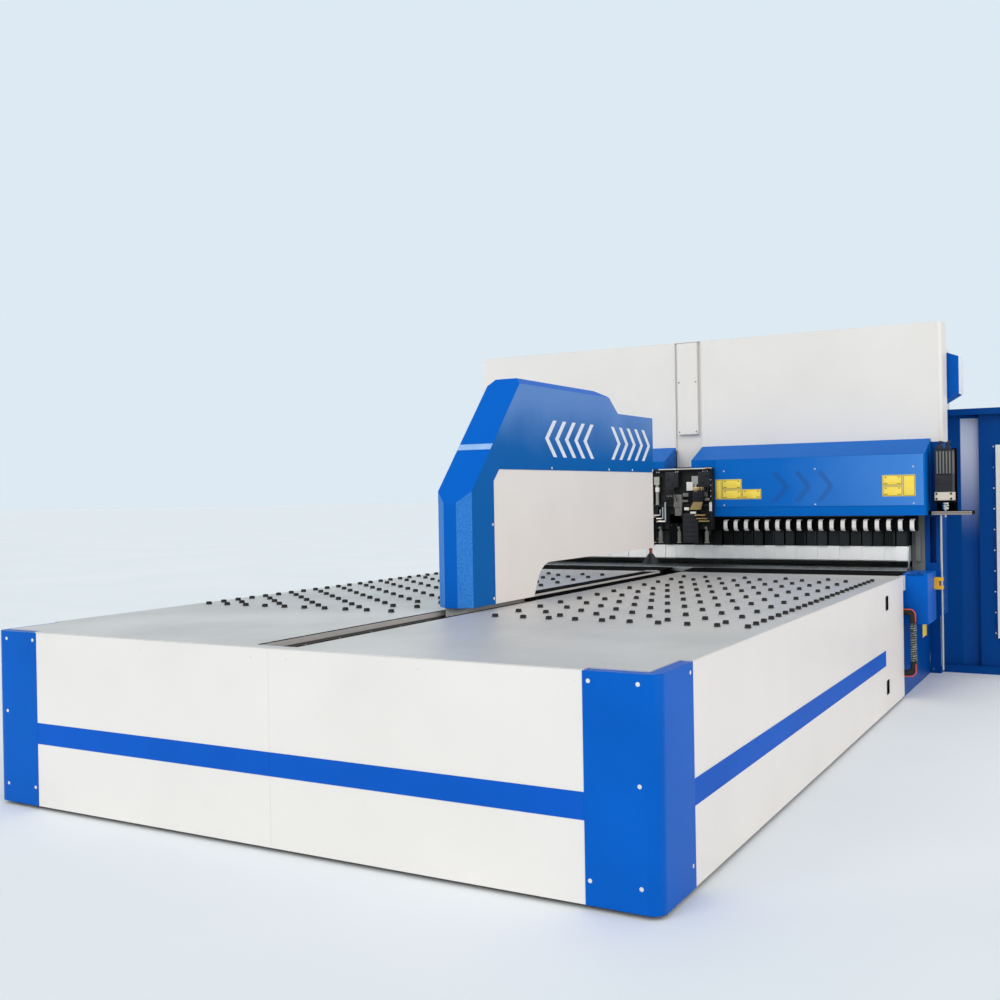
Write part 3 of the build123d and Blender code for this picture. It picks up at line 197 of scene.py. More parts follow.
def feeder_coat_painted_light(name, colour, low, high, facet):
    """The feeder cover's coat: painted shade low on its flat sides, a painted sheen towards their top and a
    painted glint on the corner facets.
    """
    made, tree, shader, place = new_finish(name, 0.34)
    across, along, height = add(tree, "ShaderNodeSeparateXYZ", {0: place}).outputs
    out = distance(tree, across, CENTRE_X)
    cloud = add(tree, "ShaderNodeTexNoise",
                {"Vector": place, "Scale": 1000 / FEEDER_CLOUD, "Detail": 3.0}).outputs[0]
    # The painted sheen on the sides rises between these heights in metres, with a third of the cloud added.
    level = add(tree, "ShaderNodeMath", {0: cloud, 1: 0.3, 2: height}, operation="MULTIPLY_ADD").outputs[0]
    lift = add(tree, "ShaderNodeMapRange", {0: level, 1: 1.72, 2: 2.10},
               interpolation_type="SMOOTHSTEP").outputs[0]
    side = add(tree, "ShaderNodeMix", {0: lift, 6: low, 7: high}, data_type="RGBA").outputs[2]
    # The painted glint lies on the facets, below the slanted front, which rises 1.1035 m for each metre, and
    # beside its flat middle.
    slant = add(tree, "ShaderNodeMath", {0: along, 1: -1.1035, 2: height}, operation="MULTIPLY_ADD").outputs[0]
    peel = orange_peel(tree, shader, place, strength=0.55, depth=0.35)
    glint = add(tree, "ShaderNodeMapRange", {0: peel, 1: 0.38, 2: 0.62, 3: 0.55, 4: 1.0}).outputs[0]
    part = masked(tree, glint, ((along, -1.7495, -1.7485), (out, 0.037, 0.036), (slant, 3.3300, 3.3315)))
    front = add(tree, "ShaderNodeMix", {0: part, 6: colour, 7: facet}, data_type="RGBA").outputs[2]
    # What lies further out than the cover's half width, less its rounded edge, is a side, with its painted
    # shade and painted sheen.
    blend_colours(tree, shader, out, front, side, 0.0975, 0.0995)
    shader.inputs["Specular IOR Level"].default_value = 0.06
    return made


def cabinet_coat_painted_sheen(name, colour, sheen):
    """The cabinet's coat, with a pale painted sheen high on the fold beside its door."""
    made, tree, shader, place = new_finish(name, 0.34)
    across, along, height = add(tree, "ShaderNodeSeparateXYZ", {0: place}).outputs
    from_fold = distance(tree, across, 1.370)
    high = add(tree, "ShaderNodeMapRange", {0: height, 1: 0.95, 2: 1.75},
               interpolation_type="SMOOTHSTEP").outputs[0]
    # The painted sheen lies only on the fold, in front, and below the roof, in metres of the row frame
    part = masked(tree, high, ((from_fold, 0.058, 0.064), (along, 2.49, 2.50), (height, 1.880, 1.885)))
    blend_colours(tree, shader, part, colour, sheen, 0.0, 1.0)
    orange_peel(tree, shader, place)
    shader.inputs["Specular IOR Level"].default_value = 0.08
    return made


def ground_steel(name, colour, shade, along, rough=0.3, metal=1.0):
    """Bare metal with lines along one axis, from brushing, grinding or turning, and a faint haze."""
    made, tree, shader, place = new_finish(name, rough, metal)
    streak = fine_lines(tree, place, along, LINE_PITCH, LINE_RUN, fractal=0.7)
    haze = add(tree, "ShaderNodeTexNoise", {"Vector": place, "Scale": 1000 / HAZE, "Detail": 4.0}).outputs[0]
    blend_colours(tree, shader, haze, colour, shade)
    both = add(tree, "ShaderNodeMath", {0: streak, 1: haze}, operation="ADD").outputs[0]
    add(tree, "ShaderNodeMapRange", {0: both, 1: 0.6, 2: 1.4, 3: rough - 0.08, 4: rough + 0.12},
        to=shader.inputs["Roughness"])
    add(tree, "ShaderNodeBump", {"Height": streak, "Strength": 0.5, "Distance": 0.12 * MM},
        to=shader.inputs["Normal"])
    return made


def segment_steel(name, dark, light, rough, metal=1.0):
    """Hardened tool steel whose tone changes a little from one segment of the row to the next."""
    made, tree, shader, place = new_finish(name, rough, metal)
    across = add(tree, "ShaderNodeSeparateXYZ", {0: place}).outputs[0]
    number = add(tree, "ShaderNodeMath", {0: across, 1: TOOL_WIDTH * MM}, operation="DIVIDE").outputs[0]
    whole = add(tree, "ShaderNodeMath", {0: number}, operation="FLOOR").outputs[0]
    chance = add(tree, "ShaderNodeTexWhiteNoise", {"W": whole}, noise_dimensions="1D").outputs[0]
    blend_colours(tree, shader, chance, dark, light, 0.0, 1.0)
    streak = fine_lines(tree, place, "Z", TOOL_PITCH, TOOL_RUN)
    add(tree, "ShaderNodeMapRange", {0: streak, 3: rough - 0.1, 4: rough + 0.12}, to=shader.inputs["Roughness"])
    add(tree, "ShaderNodeBump", {"Height": streak, "Strength": 0.4, "Distance": 0.1 * MM},
        to=shader.inputs["Normal"])
    return made


def half_blackened_steel(name, light, dark, edge):
    """Tool steel left bright below a height in metres and blackened above it."""
    made, tree, shader, place = new_finish(name, 0.34, 1.0)
    height = add(tree, "ShaderNodeSeparateXYZ", {0: place}).outputs[2]
    blend_colours(tree, shader, height, light, dark, edge - MM, edge + MM)
    streak = fine_lines(tree, place, "Z", TOOL_PITCH, TOOL_RUN)
    add(tree, "ShaderNodeMapRange", {0: streak, 3: 0.26, 4: 0.46}, to=shader.inputs["Roughness"])
    return made


def fine_grained(name, colour, shade, rough=0.45):
    """Moulded rubber or plastic, film, ink or a thin enamel: a fine grain and dull patches."""
    made, tree, shader, place = new_finish(name, rough)
    speck = add(tree, "ShaderNodeTexNoise", {"Vector": place, "Scale": 1000 / GRAIN, "Detail": 2.0}).outputs[0]
    dull = add(tree, "ShaderNodeTexNoise", {"Vector": place, "Scale": 1000 / DULL, "Detail": 3.0}).outputs[0]
    blend_colours(tree, shader, dull, colour, shade)
    add(tree, "ShaderNodeMapRange", {0: dull, 3: rough - 0.08, 4: rough + 0.12}, to=shader.inputs["Roughness"])
    add(tree, "ShaderNodeBump", {"Height": speck, "Strength": 0.5, "Distance": 0.2 * MM},
        to=shader.inputs["Normal"])
    return made


def hose_wrap(name, turns, leads):
    """Clear spiral wrap over grey and black leads: pale turns with dark flecks between them."""
    made, tree, shader, place = new_finish(name, 0.4)
    fleck = add(tree, "ShaderNodeTexNoise", {"Vector": place, "Scale": 1000 / FLECK, "Detail": 3.0})
    blend_colours(tree, shader, fleck.outputs[0], turns, leads, 0.42, 0.62)
    return made


def brush_bristles(name, tips, gaps):
    """Nylon bristles seen from their ends: small dark cells with lighter tips, painted shade between them, and
    no highlight.
    """
    made, tree, shader, place = new_finish(name, 0.7)
    cells = add(tree, "ShaderNodeTexVoronoi", {"Vector": place, "Scale": 1000 / BRISTLE}).outputs[0]
    blend_colours(tree, shader, cells, tips, gaps, 0.1, 0.6)
    add(tree, "ShaderNodeBump", {"Height": cells, "Strength": 0.9, "Distance": 1.2 * MM},
        to=shader.inputs["Normal"], invert=True)
    return made


# Polyester powder coat on folded sheet: satin, so that lights spread wide and only soften the colour
BLUE = powder_coat("blue_powder_coat", "0060C6", "0056B4")
COVER_BLUE = powder_coat("cover_blue_powder_coat", "0068C4", "005EB6")
DEEP_BLUE = powder_coat("deep_blue_powder_coat", "004A9C", "00408A")
# Its pale colour is a painted sheen on the fold beside the door
CABINET_BLUE = cabinet_coat_painted_sheen("cabinet_blue_powder_coat_painted_sheen", "00448F", "C6CCE2")
# Front colour, painted shade low on the sides, painted sheen high on them, painted glint on the facets
FEEDER_BLUE = feeder_coat_painted_light("feeder_blue_powder_coat_painted_light", "0062C8", "0060AE", "5C8ACB", "3A86D8")
# Its paler colour is a painted reflection towards the panels' outer ends
PANEL_BLUE = panel_coat_painted_reflection("panel_blue_powder_coat_painted_reflection", "0A6AC8", "4C8CDC")
STRIPE_BLUE = powder_coat("stripe_blue_powder_coat", "0A5CC8", "0654B8", rough=0.5)
WHITE = powder_coat("warm_white_powder_coat", "EBE8E4", "E5E2DE", rough=0.42, coat=0.1, shine=0.3)
GREY = powder_coat("light_grey_powder_coat", "B4B5B4", "A6A8A8", rough=0.42)
# Matte black coat and blackened plate: almost no highlight, so that edges read only by their outline
BLACK = powder_coat("matte_black_powder_coat", "101113", "0B0C0D", rough=0.9, coat=0.0)
FRAME_BLACK = powder_coat("blackened_plate", "202224", "17191A", rough=0.5, shine=0.2)
# Enamel on castings, motors and brackets: duller than a coat of powder, and more clouded
MACHINE_GREY = powder_coat("machine_grey_enamel", "7E7E7A", "6C6D6B", rough=0.5, coat=0.0)
MOTOR_BLACK = powder_coat("motor_black_enamel", "34353A", "26272B", rough=0.45, coat=0.1)
GEARBOX_CREAM = powder_coat("cream_cast_housing_enamel", "DCD5C6", "CFC7B8", rough=0.45)
RIB_GREY = powder_coat("grey_cast_rib_enamel", "7B7D7A", "686A68", rough=0.5)
RAIL_GREY = powder_coat("grey_bracket_rail_enamel", "A8A19A", "948E88", rough=0.5)
# Bare metal: its lines stretch every highlight across them, and a haze keeps wide sheets from looking flat
TABLE_STEEL = ground_steel("brushed_stainless_sheet", "E0DDD8", "D2D0CD", "Y", rough=0.45, metal=0.45)
TOOL_STEEL = ground_steel("ground_tool_steel", "D5D8D8", "BFC5C6", "X", rough=0.26)
BRIGHT_STEEL = ground_steel("turned_bright_steel", "C9CBCB", "B0B2B3", "Z", rough=0.24)
ALUMINIUM = ground_steel("clear_anodised_aluminium", "BDBBB4", "A9A8A2", "Y", rough=0.38)
BRASS = ground_steel("turned_brass", "C9AE7A", "A88F60", "Y")
# Hardened tools: upright lines, and a tone for each segment, so that the row reads as single tools
HOLDER_STEEL = segment_steel("phosphated_steel", "1C1F20", "34383A", 0.42)
UPPER_STEEL = segment_steel("hardened_ground_steel", "F0F2F2", "F5F6F6", 0.4, metal=0.6)
SLIDE_STEEL = half_blackened_steel("half_blackened_tool_steel", "D0D3D3", "121415", 0.978)
# Rubber and nylon: a soft grey sheen without hard highlights
RUBBER = fine_grained("black_rubber", "141416", "1C1C1E", 0.62)
PLASTIC = fine_grained("black_nylon", "16171A", "202125")
WHITE_PLASTIC = fine_grained("white_nylon", "E9E7E2", "DAD7D0", 0.42)
SENSOR_YELLOW = fine_grained("yellow_glass_filled_nylon", "FFC21C", "FBB90E")
# Enamelled plates, film, ink and anodising: thin and even, so that the colour carries them
YELLOW = fine_grained("yellow_enamelled_plate", "FFE45A", "FBDC4C")
ORANGE = fine_grained("orange_anodised_aluminium", "A8462A", "8E3A22", 0.35)
ORANGE_CORD = fine_grained("orange_cord_binding", "E4572E", "C9431F", 0.5)
WHITE_FILM = fine_grained("white_vinyl_film", "EAF0F6", "DDE6F0")
LAMP = fine_grained("frosted_lamp_cover", "9CC4F2", "8AB6EC", 0.3)
# Also the painted shade inside the perforations of the blue covers
INK_AND_HOLE_SHADE = fine_grained("black_screen_ink_and_painted_hole_shade", "101012", "101012", 0.5)
# Brushes and wrapped leads: broken up by small dark gaps, painted shade between the bristle bundles and the
# dark leads between the turns
BRISTLES = brush_bristles("black_nylon_bristles", "1B1B1D", "08080A")
HOSE_WRAP = hose_wrap("spiral_wrapped_leads", "A3ABA4", "3B403E")

FINISHES = {
    WHITE: "front_panels side_panels fascias centre_plate centre_duct rear_covers feeder_side_panels"
           " cabinet_door tool_hooks",
    GREY: "feeder_frame",
    GEARBOX_CREAM: "gearbox",
    SLIDE_STEEL: "changer_slide",
    BLUE: "corner_posts side_boxes cable_hood",
    FEEDER_BLUE: "feeder_cover",
    COVER_BLUE: "blue_covers",
    CABINET_BLUE: "cabinet_body",
    DEEP_BLUE: "press_frame bed_side_plates",
    PANEL_BLUE: "cover_panels",
    STRIPE_BLUE: "blue_stripes",
    MACHINE_GREY: "end_plates table_frame base_skids blade_holder blade_carriage feeder_carriage"
                  " lift_cylinders",
    FRAME_BLACK: "changer_frame changer_pins",
    BLACK: "apron feeder_lower_arm upper_beam bed_beam clamp_cylinder motor_bracket",
    TABLE_STEEL: "table_top arm_wear_strips",
    TOOL_STEEL: "lower_tool bending_blades",
    UPPER_STEEL: "upper_tools",
    HOLDER_STEEL: "tool_holders",
    BRIGHT_STEEL: "feed_track feed_screw clamp_rod drive_shaft clamp_disc guide_rod",
    ALUMINIUM: "changer_cylinders mounting_plate door_handle",
    PLASTIC: "clamp_cone",
    MOTOR_BLACK: "servo_motor feed_motor",
    RUBBER: "levelling_feet cable_loop",
    SENSOR_YELLOW: "fork_sensor",
    BRISTLES: "brush_pads",
}
for material, names in FINISHES.items():
    for name in names.split():
        nodes[name].data.materials.clear()
        nodes[name].data.materials.append(material)
unfinished = set(nodes) - set(" ".join(FINISHES.values()).split())
assert not unfinished, unfinished


# Making pieces

def block(bm, x, y, z, edge=0.0):
    """A box from three (low, high) pairs in mm, with its edges bevelled."""
    middle = [(pair[0] + pair[1]) / 2 for pair in (x, y, z)]
    size = [abs(pair[1] - pair[0]) for pair in (x, y, z)] + [1]
    box = Matrix.Translation(middle) @ Matrix.Diagonal(size)
    made = bmesh.ops.create_cube(bm, size=1, matrix=box)["verts"]
    if edge:
        edges = list({e for v in made for e in v.link_edges})
        bmesh.ops.bevel(bm, geom=edges, offset=edge, segments=2, profile=0.5, affect="EDGES", material=-1)


def facing(place, normal):
    """A matrix that puts Z along normal at a place."""
    return Matrix.Translation(place) @ Vector(normal).to_track_quat("Z", "Y").to_matrix().to_4x4()


def kept(bm):
    """A bmesh as a mesh that can be stamped many times."""
    mesh = bpy.data.meshes.new("stamp")
    bm.to_mesh(mesh)
    bm.free()
    return mesh


def lathe(profile, steps=16):
    """A turned shape from (radius, height) points, closed on its axis."""
    bm = bmesh.new()
    points = [bm.verts.new((r, 0, h)) for r, h in profile]
    for pair in zip(points, points[1:]):
        bm.edges.new(pair)
    bmesh.ops.spin(bm, geom=bm.verts[:] + bm.edges[:], axis=(0, 0, 1), cent=(0, 0, 0), angle=math.tau,
                   steps=steps, use_merge=True)
    bmesh.ops.remove_doubles(bm, verts=bm.verts, dist=0.001)
    bmesh.ops.recalc_face_normals(bm, faces=bm.faces)
    return kept(bm)


def stamp(bm, mesh, matrix):
    """Adds a copy of a mesh, moved by a matrix in machine axes."""
    moved = mesh.copy()
    moved.transform(matrix)
    bm.from_mesh(moved)
    bpy.data.meshes.remove(moved)


def bar(bm, start, end, radius, steps=14, edge=1.0):
    """A turned bar from start to end with bevelled ends."""
    start, end = Vector(start), Vector(end)
    length = (end - start).length
    half = [(0, 0), (radius - edge, 0), (radius, edge)]
    profile = half + [(r, length - h) for r, h in reversed(half)]
    stamp(bm, lathe(profile, steps), facing(start, end - start))


def tube(bm, points, radius, bend=20.0, steps=2):
    """A pipe or hose along a route with rounded corners, from machine points in mm."""
    route = bpy.data.curves.new("route", "CURVE")
    route.dimensions = "3D"
    route.bevel_depth = radius
    route.bevel_resolution = steps
    route.resolution_u = 6
    route.use_fill_caps = True
    line = route.splines.new("NURBS")
    spots = [Vector(points[0])]
    for before, corner, after in zip(points, points[1:], points[2:]):
        corner = Vector(corner)
        for other in (before, after):
            away = Vector(other) - corner
            spots.append(corner + away.normalized() * min(bend, away.length / 2))
            if other is before:
                spots.append(corner)
    spots.append(Vector(points[-1]))
    line.points.add(len(spots) - 1)
    for point, spot in zip(line.points, spots):
        point.co = (*spot, 1)
    line.order_u = 3
    line.use_endpoint_u = True
    holder = bpy.data.objects.new("route", route)
    bpy.context.collection.objects.link(holder)
    mesh = bpy.data.meshes.new_from_object(holder.evaluated_get(bpy.context.evaluated_depsgraph_get()))
    stamp(bm, mesh, Matrix.Identity(4))
    bpy.data.objects.remove(holder)


def outline(bm, points, axis, low, high):
    """A flat outline extruded between low and high along an axis; points are (u, v) on the other two."""
    order = {"X": lambda u, v, w: (w, u, v), "Y": lambda u, v, w: (u, w, v)}
    put = order[axis]
    face = bm.faces.new([bm.verts.new(put(u, v, low)) for u, v in points])
    grown = bmesh.ops.extrude_face_region(bm, geom=[face])["geom"]
    moved = [v for v in grown if isinstance(v, bmesh.types.BMVert)]
    bmesh.ops.translate(bm, vec=put(0, 0, high - low), verts=moved)


def piece(name, bm, material, body="base", smooth=30):
    """Turns a bmesh in machine axes into a finished piece that rides on a body."""
    bmesh.ops.transform(bm, matrix=TO_ROW, verts=bm.verts)
    bmesh.ops.recalc_face_normals(bm, faces=bm.faces)
    mesh = bpy.data.meshes.new(name)
    bm.to_mesh(mesh)
    bm.free()
    mesh.materials.append(material)
    made = bpy.data.objects.new(name, mesh)
    bpy.context.collection.objects.link(made)
    if smooth:
        mesh.shade_smooth()
        mesh.set_sharp_from_angle(angle=math.radians(smooth))
    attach(made, body)
    return made


# Heads of screws and rivets
BUTTON = lathe([(0, 3.2), (4.6, 2.9), (7.0, 1.6), (7.6, 0.2), (7.6, -0.6), (0, -0.6)], 16)
FLUSH_CAP = lathe([(0, 0.5), (6.8, 0.45), (7.6, 0.1), (7.6, -0.6), (0, -0.6)], 16)
SMALL_BUTTON = lathe([(0, 2.2), (3.4, 2.0), (5.0, 1.0), (5.4, 0.2), (5.4, -0.6), (0, -0.6)], 12)
SOCKET = lathe([(0, 2.0), (3.4, 2.0), (3.6, 6.2), (6.0, 6.6), (7.0, 5.6), (7.0, -0.6), (0, -0.6)], 12)
COUNTERSUNK = lathe([(0, 1.2), (1.6, 1.2), (1.8, 0.8), (4.6, 0.9), (4.8, 0), (0, 0)], 12)


def fixings(name, shape, spots, material, body="base"):
    """Screws of one kind, each given as (place, normal)."""
    bm = bmesh.new()
    for place, normal in spots:
        stamp(bm, shape, facing(place, normal))
    return piece(name, bm, material, body, smooth=40)


def both_sides(spots):
    """The given (place, normal) pairs with their mirror images about the centre line."""
    return spots + [((-x, y, z), (-a, b, c)) for (x, y, z), (a, b, c) in spots]


def rounded_edges(name, width):
    """Breaks the sharp edges of a CAD node by a width in mm. Its loose triangles are welded first."""
    weld = nodes[name].modifiers.new("weld", "WELD")
    weld.merge_threshold = 0.02 * MM
    bevel = nodes[name].modifiers.new("edges", "BEVEL")
    bevel.width = width * MM
    bevel.segments = 2
    bevel.limit_method = "ANGLE"
    bevel.angle_limit = math.radians(35)


# Table

def table_details():
    """Screws of the posts and panels, liners of the cable windows and the angles at the rear corners."""
    post_side, panel_side, panel_front, rear = 1625, 1623, 2, 4341
    screws = [((x, 0, z), (0, -1, 0))
              for x, z in ((1376, 762), (1553, 762), (1554, 431), (1372, 99), (1555, 99))]
    screws += [((post_side, 295, z), (1, 0, 0)) for z in (762, 98)]
    fixings("post_screws", FLUSH_CAP, both_sides(screws), WHITE_PLASTIC)
    screws = [((x, panel_front, 761), (0, -1, 0)) for x in (1327, 700, 90)]
    screws += [((panel_side, y, 431), (1, 0, 0)) for y in (3742, 4300)]
    screws += [((panel_side, y, z), (1, 0, 0)) for y in (345, 1841, 1885, 3712) for z in (762, 60)]
    fixings("panel_screws", SMALL_BUTTON, both_sides(screws), WHITE)
    liners, angles = bmesh.new(), bmesh.new()
    for way in (-1, 1):
        for z in (673, 159):
            block(liners, (way * 1597, way * 1611), (3735, 3855), (z - 54, z + 54), 1)
        block(angles, (way * 1625.2, way * 1628), (rear, rear + 59), (705, 803), 0.8)
        block(angles, (way * 1600, way * 1628), (rear, rear + 3), (705, 803), 0.8)
    piece("window_liners", liners, INK_AND_HOLE_SHADE)
    piece("corner_angles", angles, WHITE)


def slot_details():
    """Guide strips on both edges of the slot, with their countersunk screws."""
    bm = bmesh.new()
    for way in (-1, 1):
        block(bm, (way * 86, way * 101), (60, 4330), (800.1, 801.6), 0.5)
    piece("slot_edge_strips", bm, BLACK)
    spots = [((93.5, y, 801.0), (0, 0, 1)) for y in range(120, 4300, 220)]
    fixings("slot_screws", COUNTERSUNK, both_sides(spots), BRIGHT_STEEL)


def brush_pads():
    """Brush inserts in their moulded holders, one on every pad of the table."""
    first_row, row_pitch, rows = 1271, 116.6, 23
    outer_column, column_pitch, columns, inner_column = 1528, 134.6, 9, 300
    rim, tuft = bmesh.new(), bmesh.new()
    block(rim, (-12, 12), (-12, 12), (0.15, 6), 1.2)
    block(tuft, (-10.5, 10.5), (-10.5, 10.5), (5.5, 15))
    top = max(tuft.faces, key=lambda face: face.calc_center_median().z)
    bmesh.ops.inset_region(tuft, faces=[top], thickness=1.6, depth=0.6)
    rim, tuft = kept(rim), kept(tuft)
    holders, tufts = bmesh.new(), bmesh.new()
    for way in (-1, 1):
        for row in range(rows):
            filled = [c for c in range(1, columns) if row == 0 or (row + c) % 2 == 0]
            places = [outer_column] + [outer_column - c * column_pitch for c in filled]
            if row % 2 == 0:
                places.append(inner_column)
            for x in places:
                spot = Matrix.Translation((way * x, first_row + row * row_pitch, 800))
                stamp(holders, rim, spot)
                stamp(tufts, tuft, spot)
    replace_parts(piece("brush_holders", holders, PLASTIC), "brush_pads")
    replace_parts(piece("brush_tufts", tufts, BRISTLES), "brush_pads")


# Feeder

def feeder_details():
    """Film chevrons, lamp strip and screws on the feeder's covers."""
    cover_side, middle, reach = 100, 1690, 103
    bm = bmesh.new()
    for way in (-1, 1):
        for index in range(5):
            for start, turn in ((2213 + 125 * index, 1), (3768 - 125 * index, -1)):
                shape = [(start, middle), (start + turn * 103, middle + reach),
                         (start + turn * 148, middle + reach), (start + turn * 46, middle),
                         (start + turn * 148, middle - reach), (start + turn * 103, middle - reach)]
                outline(bm, shape, "X", way * (cover_side - 0.3), way * (cover_side + 0.5))
    piece("film_chevrons", bm, WHITE_FILM, "feeder")
    # The strip lies across the slanted front, whose slope runs 599 mm back while it rises 661 mm.
    slope = Vector((0, 599, 661)).normalized()
    away = Vector((0, -slope.z, slope.y))
    bm = bmesh.new()
    block(bm, (-99, 99), (-20, 20), (-0.4, 3.6), 1.4)
    turn = Matrix((Vector((1, 0, 0)), slope, away)).transposed().to_4x4()
    bmesh.ops.transform(bm, matrix=Matrix.Translation((0, 1615, 1626.4)) @ turn, verts=bm.verts)
    piece("lamp_strip", bm, LAMP, "feeder")
    spots = [((cover_side, y, 1524), (1, 0, 0)) for y in (2292, 3081, 3454, 3806)]
    spots += [((cover_side, 1613, z), (1, 0, 0)) for z in (1229, 851)]
    fixings("feeder_screws", BUTTON, both_sides(spots), WHITE_PLASTIC, "feeder")
    end = [((x, 3821, z), (0, 1, 0)) for x in (-78, 78) for z in (1560, 1850)]
    fixings("feeder_end_screws", SMALL_BUTTON, end, WHITE_PLASTIC, "feeder")


def clamp_details():
    """Orange sleeve of the clamp's rod, bands and screws of its cylinder, and air fittings."""
    axis_y = 4000
    bm = bmesh.new()
    profile = [(9.5, 0), (12.5, 0.8), (13.2, 8), (11, 12), (11, 22), (13.2, 25), (13.2, 41), (9.5, 42)]
    sleeve = lathe(profile, 20)
    stamp(bm, sleeve, facing((0, axis_y, 951.5), (0, 0, 1)))
    piece("clamp_sleeve", bm, ORANGE, "clamp_ram")
    bm = bmesh.new()
    band = lathe([(42, 0), (44.5, 1), (44.5, 7), (42, 8)], 28)
    for z in (1024, 1201):
        stamp(bm, band, facing((0, axis_y, z), (0, 0, 1)))
    for k in range(4):
        angle = math.radians(45 + 90 * k)
        x, y = 27 * math.cos(angle), axis_y + 27 * math.sin(angle)
        bar(bm, (x, y, 1209), (x, y, 1216), 4.5, 6, 0.6)
    piece("cylinder_bands", bm, ALUMINIUM, "feeder")
    bm = bmesh.new()
    for z in (1050, 1180):
        bar(bm, (43, axis_y, z), (58, axis_y, z), 7, 6)
        bar(bm, (0, axis_y + 41, z), (0, axis_y + 52, z), 6, 12)
    piece("air_fittings", bm, BRASS, "feeder")


# Blue covers and fascias

def cell(plates, ink, x, z, face):
    """A yellow plate with a printed border and, if wide, plain bar marks; x and z are (low, high) pairs."""
    block(plates, x, (face - 0.9, face), z, 0.3)
    printed = (face - 1.2, face - 0.8)
    margin, line = 4, 2.4
    left, right, bottom, top = x[0] + margin, x[1] - margin, z[0] + margin, z[1] - margin
    for across, up in (((left, right), (bottom, bottom + line)), ((left, right), (top - line, top)),
                       ((left, left + line), (bottom, top)), ((right - line, right), (bottom, top))):
        block(ink, across, printed, up)
    if x[1] - x[0] > 100:
        for start in (x[0] + 12, x[1] - 34):
            block(ink, (start, start + 22), printed, (z[0] + 12, z[0] + 16))
            block(ink, (start + 6, start + 16), printed, (z[1] - 18, z[1] - 12))


def cover_details():
    """Plates, screws and perforated chevrons on the blue covers; the perforations are black slots of painted
    shade.
    """
    face = 4556.6
    plates, ink = bmesh.new(), bmesh.new()
    for way in (-1, 1):
        for x, z in (((1461, 1592), (1394, 1466)), ((1461, 1592), (1322, 1392)), ((1594, 1674), (1322, 1466)),
                     ((290, 336), (1316, 1460)), ((338, 484), (1388, 1460)), ((338, 484), (1316, 1386)),
                     ((486, 626), (1316, 1386))):
            cell(plates, ink, sorted((way * x[0], way * x[1])), z, face)
    piece("yellow_plates", plates, YELLOW)
    piece("plate_borders", ink, INK_AND_HOLE_SHADE)
    spots = [((x, face, z), (0, -1, 0)) for x in (353, 1009, 1662) for z in (1520, 1273)]
    fixings("cover_screws", SMALL_BUTTON, both_sides(spots), WHITE_PLASTIC)
    # Each chevron is a row of long slots down to its tip and rows of three dashes back from it. The slots are
    # thin black blocks on the face: painted shade where the holes are dark inside.
    long_slot, dash = bmesh.new(), bmesh.new()
    block(long_slot, (-1.5, 1.5), (-0.2, 0.2), (-17, 17))
    block(dash, (-1.3, 1.3), (-0.2, 0.2), (-6, 6))
    long_slot, dash = kept(long_slot), kept(dash)
    upper_end, middle, rows = 1503, 1399, 10
    bm = bmesh.new()
    for way in (-1, 1):
        lean = Matrix.Rotation(math.radians(way * 38), 4, "Y")
        for start, tip in ((694, 836), (856, 991), (1014, 1144)):
            for k in range(rows):
                along = (tip - start - 50) * (k + 0.5) / rows
                drop = (upper_end - middle) * (k + 0.5) / rows
                spot = Matrix.Translation((way * (start + 25 + along), face - 0.1, upper_end - drop))
                stamp(bm, long_slot, spot @ lean)
                for side in (-16, 0, 16):
                    spot = Matrix.Translation((way * (tip - 25 - along + side), face - 0.1, middle - drop))
                    stamp(bm, dash, spot @ lean)
    piece("perforations", bm, INK_AND_HOLE_SHADE, smooth=0)


def fascia_details():
    """Screws of the white fascias and of the duct between them."""
    spots = [((x, 4793, z), (0, -1, 0)) for x in (-67, 67) for z in (2207, 1830)]
    fixings("duct_screws", SMALL_BUTTON, spots, INK_AND_HOLE_SHADE)
    spots = [((x, 4809, z), (0, -1, 0)) for x in (122, 640, 1220, 1780) for z in (2485, 1712)]
    fixings("fascia_screws", SMALL_BUTTON, both_sides(spots), WHITE)


# Tool row and tool changer

def tool_details():
    """End plates of the tool row and the strips along the beam's lower edge."""
    ends, strips = bmesh.new(), bmesh.new()
    for way in (-1, 1):
        block(ends, (way * 1601, way * 1609), (4671, 4690), (812.5, 974), 1)
        block(strips, (way * 300, way * 1590), (4636, 4639.7), (1180, 1200), 1)
    piece("row_end_plates", ends, TOOL_STEEL)
    piece("beam_strips", strips, MOTOR_BLACK, "ram")


CHANGER_FACE = 4500


def changer_blocks(bm, rows):
    """Boxes at the changer's face, as (left, right, bottom, top, reach in front, reach behind, edge)."""
    for left, right, bottom, top, ahead, behind, edge in rows:
        block(bm, (left, right), (CHANGER_FACE - ahead, CHANGER_FACE + behind), (bottom, top), edge)


def changer_bars(bm, spots, ahead, behind, radius, steps, edge=1.0):
    """Round heads or studs through the changer's face at the given (x, z) spots."""
    for x, z in spots:
        bar(bm, (x, CHANGER_FACE + behind, z), (x, CHANGER_FACE - ahead, z), radius, steps, edge)


